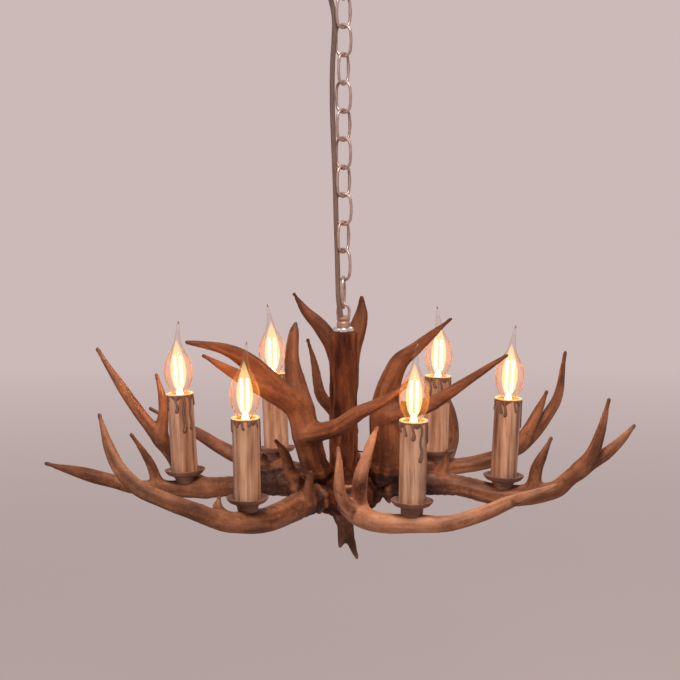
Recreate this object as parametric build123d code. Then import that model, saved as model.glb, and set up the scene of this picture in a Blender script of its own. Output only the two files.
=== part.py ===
from build123d import *
import os
from math import cos, pi, radians, sin, tan

# Antler chandelier on a chain: six candle lamps stand on six antlers that grow out of a bark
# hub, three more antlers stand up round a bark column, and a short chain with its supply cable
# carries the whole from a ceiling canopy.
# Millimetres, +Z up. The origin is the middle of the bracket's face on the ceiling, and the
# front of the chandelier looks along -Y.

# Ceiling fitting
bracket_length = 104
bracket_width = 22
bracket_thickness = 2.5
bracket_slot_spacing = 76
bracket_slot_width = 5
bracket_slot_length = 12
canopy_diameter = 125
canopy_shoulder = 104           # across the canopy where its side starts to curve in
canopy_floor = 72               # across its flat floor
canopy_height = 50
canopy_wall = 1.4
canopy_gap = 0.6                # between the canopy's rim and the ceiling
tube_diameter = 10              # the threaded tubes in the canopy and the column
tube_bore = 6.6
lock_nut_width = 17
lock_nut_height = 5
hook_boss_diameter = 17
hook_boss_height = 12
hook_boss_floor = 6             # solid metal below the boss's threaded bore
hook_eye_bore = 22
hook_wire = 4.4
grip_diameter = 20
grip_height = 16
grip_neck = 12
grip_place = (-26, 0)
grip_bore_flare = 10            # height of the bell in the grip's mouth
terminal_length = 30
terminal_width = 17
terminal_height = 13
terminal_hole = 4
terminal_pitch = 9.4
terminal_place = (21, 0)

# Chain
link_count = 12
link_pitch = 33
link_wire = 3.4
link_width = 22
link_play = 0.3                 # between links that hang in each other
link_yaw = (84, 142, 52, 157, 44, 147, 41, 147, 55, 152, 38, 104)   # lowest link first

# Supply cable
cable_diameter = 6
cable_clearance = 0.5

# Loop, collar and washer on top of the column
loop_width = 17
loop_wire = 3.4
loop_window = 12
collar_diameter = 16
collar_height = 13
collar_pocket_depth = 7
washer_diameter = 24
washer_height = 6

# Column and hub
column_radius = 16.5
column_ridges = 13
column_ridge_depth = 1.6
column_top_above_seats = 174
hub_top = 14                    # above the seats
hub_bottom = -46
hub_radius = 50
hub_top_radius = 30
hub_bottom_radius = 24
hub_facets = 13
finial_foot = -42               # above the seats
rod_end_below_hub = 10
bore_clearance = 0.3

# Candle lamps
sleeve_height = 98
sleeve_diameter = 31
sleeve_wall = 2.4
pan_diameter = 49
pan_depth = 5
pan_wall = 1.8
cup_diameter = 27
cup_height = 11
cup_flange = 3                  # height of the cup's wide rim
cup_step = 4                    # how much narrower it is below the rim
stud_diameter = 10
stud_in_arm = 7
stud_in_holder = 9
holder_diameter = 24
holder_recess = 4               # below the sleeve's rim
holder_bore = 14.4
holder_well = 27
cap_diameter = 13.8
cap_height = 24
glass_diameter = 35
glass_wall = 0.8
glass_body = 57
flame_tip = 30
flame_bend = 4
glass_foot = 2                  # below the sleeve's rim
filament_height = 34
filament_ring = 4.6
filament_thickness = 0.9

# Flats that stand for round surfaces, few enough to keep the whole chandelier light
beam_sides = 8
tine_sides = 6
facet_length = 32
turned_sides = 10
cup_sides = 8
sleeve_sides = 16
canopy_sides = 26
wire_sides = 6
link_bends = 4
eye_bends = 12
bulb_sides = 8

# Where the candles stand, as seen from above: bearing from +X towards the back, and radius
candle_bearings = (-5.4, 53, 116, 174.6, 235, 294)
candle_leans = (3, 3, 5.5, 3.4, 2, 2)           # outward, degrees
candle_radius = 191
candle_names = ("right", "back_right", "back_left", "left", "front_left", "front_right")

# Levels worked out downwards from the ceiling
hook_contact = -(canopy_height + hook_boss_height + hook_eye_bore)
loop_contact = hook_contact + link_play - link_count * link_pitch
collar_top = loop_contact - loop_window
column_top = collar_top - collar_height - washer_height
seats = column_top - column_top_above_seats


def bar(diameter, low, high, sides=turned_sides):
    """An upright turned bar between two levels, its round side drawn as flats."""
    return Pos(0, 0, low) * extrude(RegularPolygon(diameter / 2, sides), high - low)


def tube(outer, inner, low, high, sides=turned_sides):
    """An upright tube between two levels."""
    return bar(outer, low, high, sides) - bar(inner, low, high, sides)


def ring_points(radius, height, sides, shift=0):
    """The corners of a level polygon about the upright axis, or shifted along X."""
    corners = []
    for side in range(sides):
        angle = 2 * pi * side / sides
        corners.append((shift + radius * cos(angle), radius * sin(angle), height))
    return corners


def nut(width, bore, low, high):
    """A hexagon nut, its width across the flats."""
    outline = RegularPolygon(width / 2, 6, major_radius=False)
    return Pos(0, 0, low) * extrude(outline, high - low) - bar(bore, low, high)


def bent_wire(corners, diameter, closed=False):
    """A wire bent through corners that lie in one upright plane."""
    path = Polyline(*corners, close=closed)
    profile = Plane(origin=path @ 0, z_dir=path % 0) * RegularPolygon(diameter / 2, wire_sides)
    return Rot(90, 0, 0) * sweep(profile, path, transition=Transition.RIGHT)


def arc_corners(reach, level, start, turn, bends):
    """Corners of the flats laid round the outside of an arc about a point on the upright axis."""
    half_step = turn / (2 * bends)
    corners = []
    for bend in range(bends):
        angle = start + half_step * (2 * bend + 1)
        corner_reach = reach / cos(half_step)
        corners.append((corner_reach * cos(angle), level + corner_reach * sin(angle)))
    return corners


def perpendicular(direction, wanted):
    """The part of a wanted vector that is square to a direction."""
    return (wanted - direction * wanted.dot(direction)).normalized()


def facet(*corners):
    """A flat face through its corners."""
    return Face(Wire.make_polygon([Vector(*corner) for corner in corners]))


def skin(rings):
    """The solid between a row of polygons with equal numbers of corners, in flat facets."""
    faces = [facet(*rings[0]), facet(*rings[-1])]
    for ring, next_ring in zip(rings, rings[1:]):
        for corner in range(len(ring)):
            neighbour = corner - 1
            faces.append(facet(ring[corner], ring[neighbour], next_ring[corner]))
            faces.append(facet(ring[neighbour], next_ring[neighbour], next_ring[corner]))
    return Solid(Shell(faces))


def limb(stations, sides, flat=1.0):
    """A tapering horn on a smooth curve through stations (x, y, height above the seats, radius).

    flat is its thickness as a share of its width, which lies across the view from the front.
    """
    points = [Vector(x, y, seats + z) for x, y, z, radius in stations]
    path = Spline(*points)
    reached = [0]
    for start, end in zip(points, points[1:]):
        reached.append(reached[-1] + (end - start).length)
    steps = max(3, round(path.length / facet_length))
    across = Vector(1, 0, 0.35)
    rings = []
    for step in range(steps + 1):
        at = reached[-1] * step / steps
        span = min(sum(at >= mark for mark in reached), len(reached) - 1)
        share = (at - reached[span - 1]) / (reached[span] - reached[span - 1])
        radius = stations[span - 1][3] * (1 - share) + stations[span][3] * share
        direction = path.tangent_at(step / steps)
        across = perpendicular(direction, across)
        upward = direction.cross(across)
        middle = path.position_at(step / steps)
        ring = []
        for side in range(sides):
            angle = 2 * pi * (side + 0.5) / sides
            ring.append(middle + across * (radius * cos(angle)) + upward * (radius * flat * sin(angle)))
        rings.append(ring)
    return skin(rings)


def tine(points, root_radius, flat=1.0):
    """A pointed tine: three to five points from its root, inside the beam, to its tip."""
    steps = len(points) - 1
    stations = []
    for index, point in enumerate(points):
        share = index / steps
        stations.append((*point, root_radius * (1 - 0.78 * share ** 1.8)))
    return limb(stations, tine_sides, flat)


def burr(stations, growth=1.3, thickness=7):
    """The knobbly ring round an antler's root."""
    x, y, z, radius = stations[0]
    start = Vector(x, y, seats + z)
    direction = (Vector(stations[1][0], stations[1][1], seats + stations[1][2]) - start).normalized()
    outline = []
    lobes = 9
    for step in range(2 * lobes):
        reach = radius * (growth if step % 2 else growth - 0.16)
        angle = pi * step / lobes
        outline.append((reach * cos(angle), reach * sin(angle)))
    middle = start + direction * (radius * 0.9)
    plane = Plane(origin=middle, z_dir=direction)
    return plane * extrude(Polygon(*outline, align=None), thickness)


def seat(index, drop, radius):
    """The beam's station under a candle."""
    angle = radians(candle_bearings[index])
    return (candle_radius * cos(angle), candle_radius * sin(angle), -drop, radius)


# The six arms. Each beam runs from the hub through its candle seat to its tip.
right_beam = [
    (40, 0, -10, 15.5), (75, -2, -8, 14.5), (132, -9, -9, 12.5), seat(0, 20, 12.5),
    (245, -25, -14, 11), (268, -30, 3, 9.5), (287, -37, 23, 8.5), (299, -44, 48, 7),
    (311, -54, 101, 1.8),
]
right_tines = [
    ([(280, -34, 14), (309, -24, 30), (329, -15, 45), (346, -8, 62)], 8.5),
    ([(112, -6, -4), (120, -14, 16), (123, -20, 34)], 7),
    ([(225, -20, -14), (229, -28, 14), (237, -33, 34), (245, -36, 52)], 8),
]
back_right_beam = [
    (27, 28, -14, 15), (62, 72, -15, 14), (92, 118, -18, 12), seat(1, 19, 11),
    (150, 162, -17, 10), (184, 168, -11, 10), (212, 172, 0, 9.4), (235, 176, 17, 8.8),
    (256, 180, 43, 7.5), (270, 180, 70, 6), (278, 175, 124, 1.8),
]
back_right_tines = [
    ([(222, 174, 9), (235, 168, 33), (246, 164, 58), (254, 160, 77)], 8),
    ([(118, 158, -19), (124, 190, -12), (129, 204, 12), (127, 202, 45), (118, 194, 92)], 13),
]
back_left_beam = [
    (-15, 37, -14, 15), (-48, 95, -17, 14), (-70, 140, -19, 12.5), seat(2, 20, 12),
    (-108, 187, -16, 11), (-136, 200, -11, 10), (-160, 205, 1, 8.4), (-184, 205, 16, 7),
    (-244, 200, 49, 1.8),
]
left_beam = [
    (-42, 0, -9, 16), (-80, 5, -8, 16), (-128, 10, -14, 12.5), seat(3, 19, 11),
    (-246, 20, -18, 8.8), (-275, 26, -12, 8.3), (-312, 35, -4, 7.6), (-360, 45, 7, 1.8),
]
left_tines = [
    ([(-166, 15, -17), (-192, 55, -8), (-209, 67, 16), (-240, 70, 54), (-299, 78, 142)], 10.5),
    ([(-222, 68, 32), (-219, 66, 75), (-227, 67, 112)], 7.5),
    ([(-222, 18, -17), (-232, 12, 14), (-253, 0, 50)], 7.2),
    ([(-60, -4, -4), (-70, -15, 30), (-80, -25, 47)], 7),
]
front_left_beam = [
    (-25, -31, -17, 14.5), (-50, -66, -22, 15), (-85, -122, -27, 14.5), seat(4, 24, 13.5),
    (-138, -175, -19, 11), (-170, -190, -4, 10.5), (-204, -195, 10, 9.4), (-232, -190, 22, 9),
    (-254, -176, 42, 8), (-267, -163, 66, 6.2), (-278, -150, 99, 1.8),
]
front_left_tines = [
    ([(-40, -72, -16), (-40, -85, 6), (-38, -92, 22)], 7.5),
    ([(-136, -172, -18), (-143, -162, -8), (-142, -152, 4)], 8),
]
front_right_beam = [
    (8, -39, -17, 15), (12, -90, -21, 14.5), (26, -138, -24, 12.5), (50, -164, -24, 11.5),
    seat(5, 22, 11), (120, -178, -21, 9.4), (161, -166, -11, 8.6), (192, -150, -1, 7.4),
    (246, -115, 11, 1.8),
]
front_right_tines = [
    ([(14, -120, -18), (0, -156, 0), (-5, -170, 20), (-5, -175, 46), (-6, -172, 64)], 8),
    ([(17, -112, -18), (19, -150, 25), (24, -155, 44), (32, -157, 70), (38, -155, 85)], 9),
]

# The three upright antlers, flattened like a palm: their thickness as a share of their width
upright_flat = 0.72
left_upright_beam = [
    (-29, -32, 3, 14), (-35, -43, 24, 16), (-42, -54, 53, 16.4), (-49, -60, 84, 15.5),
    (-54, -60, 113, 13), (-59, -57, 137, 9.8), (-60, -54, 155, 7.4), (-56, -48, 190, 1.8),
]
left_upright_tines = [
    ([(-50, -60, 90), (-94, -86, 137), (-117, -100, 158), (-140, -110, 170), (-179, -125, 179)], 13),
    ([(-62, -66, 98), (-94, -88, 120), (-126, -105, 140), (-160, -130, 164)], 11),
    ([(-42, -56, 60), (-8, -84, 73), (17, -98, 92), (45, -112, 108), (76, -125, 134)], 15),
]
right_upright_beam = [
    (45, -20, 5, 14), (50, -27, 24, 16.5), (49, -35, 50, 18), (48, -40, 80, 17),
    (50, -42, 101, 15.3), (56, -45, 124, 12.8), (66, -50, 146, 11), (84, -58, 162, 8),
    (103, -67, 180, 5), (124, -75, 199, 1.8),
]
right_upright_tines = [
    ([(50, -40, 82), (78, -50, 89), (104, -60, 98), (138, -72, 122), (188, -88, 158)], 14),
]
back_upright_beam = [
    (2, 36, 4, 13.5), (2, 45, 35, 15.5), (1, 50, 77, 16), (0, 50, 118, 15),
    (-11, 50, 149, 12), (-28, 48, 174, 9), (-46, 45, 194, 6), (-59, 42, 214, 1.8),
]
back_upright_tines = [
    ([(3, 50, 106), (8, 52, 144), (18, 52, 174), (22, 50, 192), (22, 48, 209)], 13.5),
    ([(-6, 46, 66), (-25, 40, 88), (-31, 36, 108), (-36, 34, 135), (-43, 32, 160)], 7.5),
]
finial_beam = [
    (0, 0, finial_foot, 14.5), (1, 0, finial_foot - 8, 13), (5, 0, finial_foot - 21, 9.6),
    (7, 0, finial_foot - 32, 8.6), (16, 0, finial_foot - 56, 1.8),
]
finial_tines = [([(4, 0, finial_foot - 22), (-1, 0, finial_foot - 34), (-4, 0, finial_foot - 43)], 6)]


def antler(beam, tines, flat=1.0, with_burr=True):
    """One antler: its beam, its tines and the burr at its root, in one piece."""
    whole = limb(beam, beam_sides, flat)
    for points, root_radius in tines:
        whole += tine(points, root_radius, flat)
    if with_burr:
        whole += burr(beam)
    return whole


def candle_frame(index):
    """The frame of one candle: its origin on the pan's floor, its Z up the leaning sleeve."""
    angle = radians(candle_bearings[index])
    tilt = radians(candle_leans[index])
    outward = Vector(cos(angle), sin(angle), 0)
    foot = outward * candle_radius + Vector(0, 0, seats)
    return Plane(origin=foot, x_dir=(cos(tilt), 0, -sin(tilt) * cos(angle)),
                 z_dir=outward * sin(tilt) + Vector(0, 0, cos(tilt)))


def make_pan():
    """A shallow drip dish with a flared rim."""
    radius = pan_diameter / 2
    outside = [(radius - 7, -pan_wall), (radius, pan_depth)]
    inside = [(radius - 8, 0), (radius - 1.5, pan_depth)]
    dish = skin([ring_points(reach, level, turned_sides) for reach, level in outside])
    dish -= skin([ring_points(reach, level, turned_sides) for reach, level in inside])
    return dish - bar(stud_diameter, -pan_wall, 0)


def make_cup():
    """The turned cup between the arm and the pan."""
    top = -pan_wall
    collar = bar(cup_diameter, top - cup_flange, top, cup_sides)
    collar += bar(cup_diameter - cup_step, top - cup_height, top - cup_flange, cup_sides)
    return collar - bar(stud_diameter, top - cup_height, top)


def make_holder():
    """The lampholder inside the sleeve: a body with a screw well, standing on the stud."""
    top = sleeve_height - holder_recess
    foot = bar(stud_diameter + 6, 0, 12) - bar(stud_diameter, 0, stud_in_holder)
    body = bar(holder_diameter, 12, top) - bar(holder_bore, top - holder_well, top)
    return foot + body


def glass_stations(shrink):
    """Radius, sideways bend and height of the bulb's flame shape above its foot."""
    full = glass_diameter / 2 - shrink
    return [
        (7.2 - shrink, 0, 0), (full * 0.72, 0, glass_body * 0.16), (full * 0.96, 0, glass_body * 0.34),
        (full, 0, glass_body * 0.5), (full * 0.84, 0, glass_body * 0.7),
        (full * 0.32, 0.1, glass_body),
    ]


def make_glass():
    """A hollow flame-shaped bulb with a thin bent tip."""
    foot = sleeve_height - glass_foot
    tip = [
        (3, 0.3, glass_body + flame_tip * 0.35), (2, 0.7, glass_body + flame_tip * 0.68),
        (0.9, 1, glass_body + flame_tip + glass_foot),
    ]
    outside = []
    for radius, bend, height in glass_stations(0) + tip:
        outside.append(ring_points(radius, foot + height, bulb_sides, bend * flame_bend))
    inside = []
    for radius, bend, height in glass_stations(glass_wall):
        inside.append(ring_points(radius, foot + height, bulb_sides, bend * flame_bend))
    return skin(outside) - skin(inside)


def make_cap():
    """The bulb's screw cap with its contact."""
    top = sleeve_height - glass_foot
    contact = bar(cap_diameter * 0.4, top - cap_height - 1.5, top - cap_height)
    return bar(cap_diameter, top - cap_height, top) + contact


def make_filament():
    """The stem inside the bulb, with four upright filaments."""
    foot = sleeve_height - glass_foot
    stem_top = foot + 9
    stem = bar(4, foot, stem_top, wire_sides)
    stem += bar(2 * filament_ring + 2, stem_top, stem_top + 1, wire_sides)
    rod = Pos(0, 0, stem_top + 1) * extrude(Rectangle(filament_thickness, filament_thickness),
                                            filament_height)
    for quarter in range(4):
        angle = radians(45 + 90 * quarter)
        stem += Pos(filament_ring * cos(angle), filament_ring * sin(angle), 0) * rod
    return stem


def make_link(level, yaw):
    """One chain link, its inside top at a level, turned about the chain's line."""
    reach = (link_width - link_wire) / 2
    straight = link_pitch + link_play + link_wire - 2 * reach
    top = arc_corners(reach, straight / 2, 0, pi, link_bends)
    bottom = arc_corners(reach, -straight / 2, pi, pi, link_bends)
    middle = level - (link_pitch + link_play) / 2
    return Pos(0, 0, middle) * Rot(0, 0, yaw) * bent_wire(top + bottom, link_wire, closed=True)


# Route of the supply cable, from inside the canopy through its grip, down the left side of the
# chain and in front of the loop, to the floor of the pocket in the collar
grip_x, grip_y = grip_place
cable_route = [
    (grip_x, grip_y, 4 - canopy_height),
    (grip_x, grip_y, -(canopy_height + grip_height + 8)),
    (-17.6, 0.8, hook_contact - 24),
    (-10, 1.5, hook_contact - 54),
    (-11, -0.6, hook_contact - 82),
    (-13.2, -1.5, hook_contact - 113),
    (-13.3, -1.2, hook_contact - 158),
    (-11.8, -1.7, hook_contact - 200),
    (-9.8, -1.4, hook_contact - 245),
    (-8.8, -1.9, hook_contact - 290),
    (-7.4, -1.5, hook_contact - 332),
    (-6.6, -3.4, loop_contact + 31),
    (-6, -7.8, loop_contact + 3),
    (-1.6, -2.6, collar_top - collar_pocket_depth),
]


def tangent_radii(route):
    """The largest arc at each corner of a route that its two runs leave room for."""
    radii = []
    for before, corner, after in zip(route, route[1:], route[2:]):
        arriving = Vector(*corner) - Vector(*before)
        leaving = Vector(*after) - Vector(*corner)
        turn = radians(arriving.get_angle(leaving))
        radii.append(0.45 * min(arriving.length, leaving.length) / tan(turn / 2))
    return radii


def make_cable():
    radii = tangent_radii(cable_route)
    print("cable bend radii", [round(radius) for radius in radii])
    path = FilletPolyline(*cable_route, radius=radii)
    profile = RegularPolygon(cable_diameter / 2, wire_sides)
    solid = sweep(Plane(origin=path @ 0, z_dir=path % 0) * profile, path)
    section = profile.area
    print("cable length", round(path.length, 1), "volume check", round(solid.volume / section, 1))
    return solid


def make_column():
    """The bark column: upright ridges round a bored core."""
    outline = []
    for step in range(2 * column_ridges):
        reach = column_radius - (column_ridge_depth if step % 2 else 0)
        angle = pi * step / column_ridges
        outline.append((reach * cos(angle), reach * sin(angle)))
    low = seats + hub_top
    bark = Pos(0, 0, low) * extrude(Polygon(*outline, align=None), column_top - low)
    return bark - bar(tube_diameter + 2 * bore_clearance, low, column_top)


def make_hub():
    """The rough bark burr that the antlers are set in."""
    levels = [
        (hub_bottom, hub_bottom_radius), (hub_bottom + 11, hub_radius * 0.82),
        (hub_bottom + 30, hub_radius), (hub_top - 9, hub_radius * 0.86), (hub_top, hub_top_radius),
    ]
    rings = []
    for number, (level, radius) in enumerate(levels):
        ring = []
        for step in range(hub_facets):
            angle = 2 * pi * step / hub_facets
            reach = radius * (1 + 0.07 * sin(3 * angle + number) + 0.05 * sin(5 * angle))
            ring.append((reach * cos(angle), reach * sin(angle), seats + level))
        rings.append(ring)
    return skin(rings)


def make_loop():
    """The windowed loop that the chain carries the column by."""
    half = (loop_width - loop_wire) / 2
    spring = loop_window + loop_wire / 2 - half
    corners = [(half, 0)] + arc_corners(half, spring, 0, pi, link_bends) + [(-half, 0)]
    return Pos(0, 0, collar_top) * bent_wire(corners, loop_wire)


def make_hook():
    """The canopy's lower boss with the eye that the chain hangs in."""
    boss_low = -(canopy_height + hook_boss_height)
    eye_radius = (hook_eye_bore + hook_wire) / 2
    eye_middle = boss_low - eye_radius + hook_wire / 2
    corners = arc_corners(eye_radius, 0, 0, 2 * pi, eye_bends)
    eye = Pos(0, 0, eye_middle) * bent_wire(corners, hook_wire, closed=True)
    boss = bar(hook_boss_diameter, boss_low, -canopy_height)
    boss -= bar(tube_diameter, boss_low + hook_boss_floor, -canopy_height)
    return boss + eye


def make_canopy():
    """A spun ceiling cup, open at the top, with holes for the tube and the cable grip."""
    radius = canopy_diameter / 2
    low = -canopy_height
    outside = [(canopy_floor / 2, low), (canopy_shoulder / 2, low + canopy_height / 4),
               (radius * 0.97, low + canopy_height * 0.6), (radius, -canopy_gap)]
    inside = [(canopy_floor / 2 - canopy_wall / 2, low + canopy_wall)]
    for reach, level in outside[1:3]:
        inside.append((reach - canopy_wall, level + canopy_wall / 2))
    inside.append((radius - canopy_wall, -canopy_gap))
    cup = skin([ring_points(reach, level, canopy_sides) for reach, level in outside])
    cup -= skin([ring_points(reach, level, canopy_sides) for reach, level in inside])
    cup -= bar(tube_diameter, low, low + canopy_wall)
    return cup - Pos(grip_x, grip_y, 0) * bar(grip_neck, low, low + canopy_wall)


def make_grip():
    """The cable grip: a neck through the canopy and a flared mouth below it."""
    low = -(canopy_height + grip_height)
    mouth = bar(grip_diameter, low, -canopy_height)
    neck_top = canopy_wall + grip_neck / 2 - canopy_height
    neck = bar(grip_neck, -canopy_height, neck_top)
    bore = bar(cable_diameter + 2 * cable_clearance, low, neck_top)
    mouth_rings = [(grip_diameter / 2 - 1, low),
                   (cable_diameter / 2 + cable_clearance, low + grip_bore_flare)]
    flare = skin([ring_points(reach, level, turned_sides) for reach, level in mouth_rings])
    return Pos(grip_x, grip_y, 0) * (mouth + neck - bore - flare)


def make_bracket():
    """The steel strip on the ceiling, with a slot for each ceiling screw."""
    strip = extrude(Rectangle(bracket_length, bracket_width), -bracket_thickness)
    slot = extrude(SlotOverall(bracket_slot_length, bracket_slot_width), -bracket_thickness)
    for side in (-1, 1):
        strip -= Pos(side * bracket_slot_spacing / 2, 0, 0) * slot
    return strip - bar(tube_diameter, -bracket_thickness, 0)


def make_terminal():
    """The three-way connector block for the supply, across the bracket inside the canopy."""
    x, y = terminal_place
    block = Box(terminal_width, terminal_length, terminal_height)
    for way in (-1, 0, 1):
        hole = Rot(0, 90, 0) * bar(terminal_hole, -terminal_width / 2, terminal_width / 2, 8)
        block -= Pos(0, way * terminal_pitch, 0) * hole
    return Pos(x, y, -bracket_thickness - terminal_height / 2) * block


# Ceiling fitting
nodes = {}
nodes["ceiling_bracket"] = make_bracket()
nodes["terminal_block"] = make_terminal()
nodes["canopy"] = make_canopy()
tube_foot = hook_boss_floor - canopy_height - hook_boss_height
nodes["canopy_tube"] = tube(tube_diameter, tube_bore, tube_foot, 0)
nodes["canopy_lock_nut"] = nut(lock_nut_width, tube_diameter, -bracket_thickness - lock_nut_height,
                               -bracket_thickness)
nodes["canopy_hook"] = make_hook()
nodes["cable_grip"] = make_grip()

# Chain and cable
for number in range(1, link_count + 1):
    level = loop_contact + number * link_pitch
    nodes[f"chain_link_{number:02d}"] = make_link(level, link_yaw[number - 1])
nodes["supply_cable"] = make_cable()

# Column
nodes["column_loop"] = make_loop()
pocket_floor = Plane(origin=cable_route[-1], z_dir=Vector(*cable_route[-2]) - Vector(*cable_route[-1]))
pocket = pocket_floor * bar(cable_diameter + 2 * cable_clearance, 0, 2 * collar_pocket_depth)
rod_top = collar_top - collar_height + 5
collar = bar(collar_diameter, collar_top - collar_height, collar_top)
nodes["column_collar"] = collar - pocket - bar(tube_diameter, collar_top - collar_height, rod_top)
nodes["column_washer"] = tube(washer_diameter, tube_diameter, column_top, column_top + washer_height)
nodes["bark_column"] = make_column()
rod_bottom = seats + hub_bottom - rod_end_below_hub
nodes["column_tube"] = tube(tube_diameter, tube_bore, rod_bottom, rod_top)

# Antlers: each upright is notched round the arms that it stands on
arms = {
    "antler_arm_right": antler(right_beam, right_tines),
    "antler_arm_back_right": antler(back_right_beam, back_right_tines),
    "antler_arm_back_left": antler(back_left_beam, []),
    "antler_arm_left": antler(left_beam, left_tines),
    "antler_arm_front_left": antler(front_left_beam, front_left_tines),
    "antler_arm_front_right": antler(front_right_beam, front_right_tines),
}
uprights = {
    "antler_upright_left": antler(left_upright_beam, left_upright_tines, flat=upright_flat),
    "antler_upright_right": antler(right_upright_beam, right_upright_tines, flat=upright_flat),
    "antler_upright_back": antler(back_upright_beam, back_upright_tines, flat=upright_flat),
}

# Candle lamps
pan = make_pan()
cup = make_cup()
stud = bar(stud_diameter, -pan_wall - cup_height - stud_in_arm, stud_in_holder)
sleeve = tube(sleeve_diameter, sleeve_diameter - 2 * sleeve_wall, 0, sleeve_height, sleeve_sides)
holder = make_holder()
glass = make_glass()
cap = make_cap()
filament = make_filament()
groups = {"drip_pans": [], "candle_cups": [], "candle_studs": [], "candle_sleeves": [],
          "lampholders": []}
arm_names = list(arms)
for index, name in enumerate(candle_names):
    place = candle_frame(index).location
    arm = arms[arm_names[index]]
    placed_stud = place * stud
    seated_cup = place * cup - arm
    groups["candle_cups"].append(max(seated_cup.solids(), key=lambda solid: solid.volume))
    arms[arm_names[index]] = arm - placed_stud
    groups["candle_studs"].append(placed_stud)
    groups["drip_pans"].append(place * pan)
    groups["candle_sleeves"].append(place * sleeve)
    groups["lampholders"].append(place * holder)
    nodes[f"bulb_{name}_glass"] = place * glass
    nodes[f"bulb_{name}_cap"] = place * cap
    nodes[f"bulb_{name}_filament"] = place * filament

hub = make_hub() - bar(tube_diameter + 2 * bore_clearance, seats + hub_bottom, seats + hub_top)
for name, arm in arms.items():
    hub -= arm
    for upright in uprights:
        uprights[upright] = uprights[upright] - arm
for name, upright in uprights.items():
    hub -= upright
finial = antler(finial_beam, finial_tines, with_burr=False)
finial -= bar(tube_diameter, rod_bottom, seats + hub_top)
nodes["bark_hub"] = hub - finial
nodes["antler_finial"] = finial
nodes.update(arms)
nodes.update(uprights)
for name, pieces in groups.items():
    nodes[name] = pieces

os.makedirs("parts", exist_ok=True)
for name, shape in nodes.items():
    pieces = shape if isinstance(shape, list) else [shape]
    solids = [solid for piece in pieces for solid in piece.solids()]
    whole = solids[0] if len(solids) == 1 else Compound(children=solids)
    whole.label = name
    export_step(whole, f"parts/{name}.step")
    print(name, "solids", len(solids), "volume", round(sum(solid.volume for solid in solids)))
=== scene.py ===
import math
import random

import bmesh
import bpy
import numpy as np
from mathutils import Matrix, Vector, noise


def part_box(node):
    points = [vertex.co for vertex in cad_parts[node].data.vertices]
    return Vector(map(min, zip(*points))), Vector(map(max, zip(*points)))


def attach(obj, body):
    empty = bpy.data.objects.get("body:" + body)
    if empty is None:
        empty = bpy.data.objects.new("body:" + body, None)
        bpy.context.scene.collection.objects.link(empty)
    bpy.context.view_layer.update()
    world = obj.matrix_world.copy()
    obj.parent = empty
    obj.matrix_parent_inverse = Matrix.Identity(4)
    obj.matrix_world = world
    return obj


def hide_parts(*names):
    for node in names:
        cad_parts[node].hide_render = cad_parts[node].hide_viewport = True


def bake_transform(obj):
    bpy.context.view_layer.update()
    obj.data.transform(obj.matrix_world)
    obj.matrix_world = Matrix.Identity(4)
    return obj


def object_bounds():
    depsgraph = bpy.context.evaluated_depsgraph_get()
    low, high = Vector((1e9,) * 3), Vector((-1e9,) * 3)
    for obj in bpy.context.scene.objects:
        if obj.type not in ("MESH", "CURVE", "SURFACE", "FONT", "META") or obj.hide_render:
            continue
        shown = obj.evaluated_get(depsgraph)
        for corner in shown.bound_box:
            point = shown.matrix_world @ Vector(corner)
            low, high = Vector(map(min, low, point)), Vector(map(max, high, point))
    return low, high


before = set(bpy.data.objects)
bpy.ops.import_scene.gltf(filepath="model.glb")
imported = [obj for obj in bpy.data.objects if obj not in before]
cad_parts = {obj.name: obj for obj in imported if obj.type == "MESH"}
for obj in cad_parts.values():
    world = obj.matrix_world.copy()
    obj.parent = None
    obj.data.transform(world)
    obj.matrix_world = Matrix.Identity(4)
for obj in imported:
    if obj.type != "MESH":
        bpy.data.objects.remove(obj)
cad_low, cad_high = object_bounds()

# ---------------------------------------------------------------------------------------------
# The studio: a pale floor and a pinkish grey surround. A large soft lamp stands in front and
# above, a weak one on the left and a rim lamp behind on the right. The camera is a little above
# the candles and looks slightly down.
candle_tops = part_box("candle_sleeves")[1].z - 0.0005
camera_distance = 3.3
camera_aside = -0.0041
camera_above_candles = 0.523
camera_pitch = math.radians(7.89)
camera_lens = 148.5
surround = (0.600, 0.490, 0.480)
shine_colour = (0.95, 0.87, 0.82)
shine_strength = 0.30
floor_below_lamp = 0.55
floor_colour = (0.52, 0.43, 0.42)
floor_radius = 400
floor_fades = (0.8, 5.5)        # from its own colour to the surround's, in metres from the middle
black = (0, 0, 0)

scene = bpy.context.scene
scene.view_settings.view_transform = "Standard"

camera = bpy.data.objects.new("camera", bpy.data.cameras.new("camera"))
camera.data.lens = camera_lens
camera.data.sensor_width = 36
camera.location = (camera_aside, -camera_distance, candle_tops + camera_above_candles)
camera.rotation_euler = (math.pi / 2 - camera_pitch, 0, 0)
scene.collection.objects.link(camera)
scene.camera = camera


def soft_lamp(name, place, size, power, colour):
    """A square soft box that faces the middle of the chandelier."""
    light = bpy.data.lights.new(name, "AREA")
    light.size = size
    light.energy = power
    light.color = colour
    lamp = bpy.data.objects.new(name, light)
    lamp.location = place
    from_middle = Vector(place) - Vector((0, 0, candle_tops))
    lamp.rotation_euler = from_middle.to_track_quat("Z", "Y").to_euler()
    scene.collection.objects.link(lamp)


soft_lamp("key", place=(0.1, -1.95, 1.75), size=0.9, power=118, colour=(1.0, 0.97, 0.93))
soft_lamp("fill", place=(-2.3, -1.4, 0.5), size=1.4, power=9, colour=(1.0, 0.96, 0.93))
soft_lamp("rim", place=(1.2, 2.2, 1.2), size=1.3, power=16, colour=(1.0, 0.98, 0.96))

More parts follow.
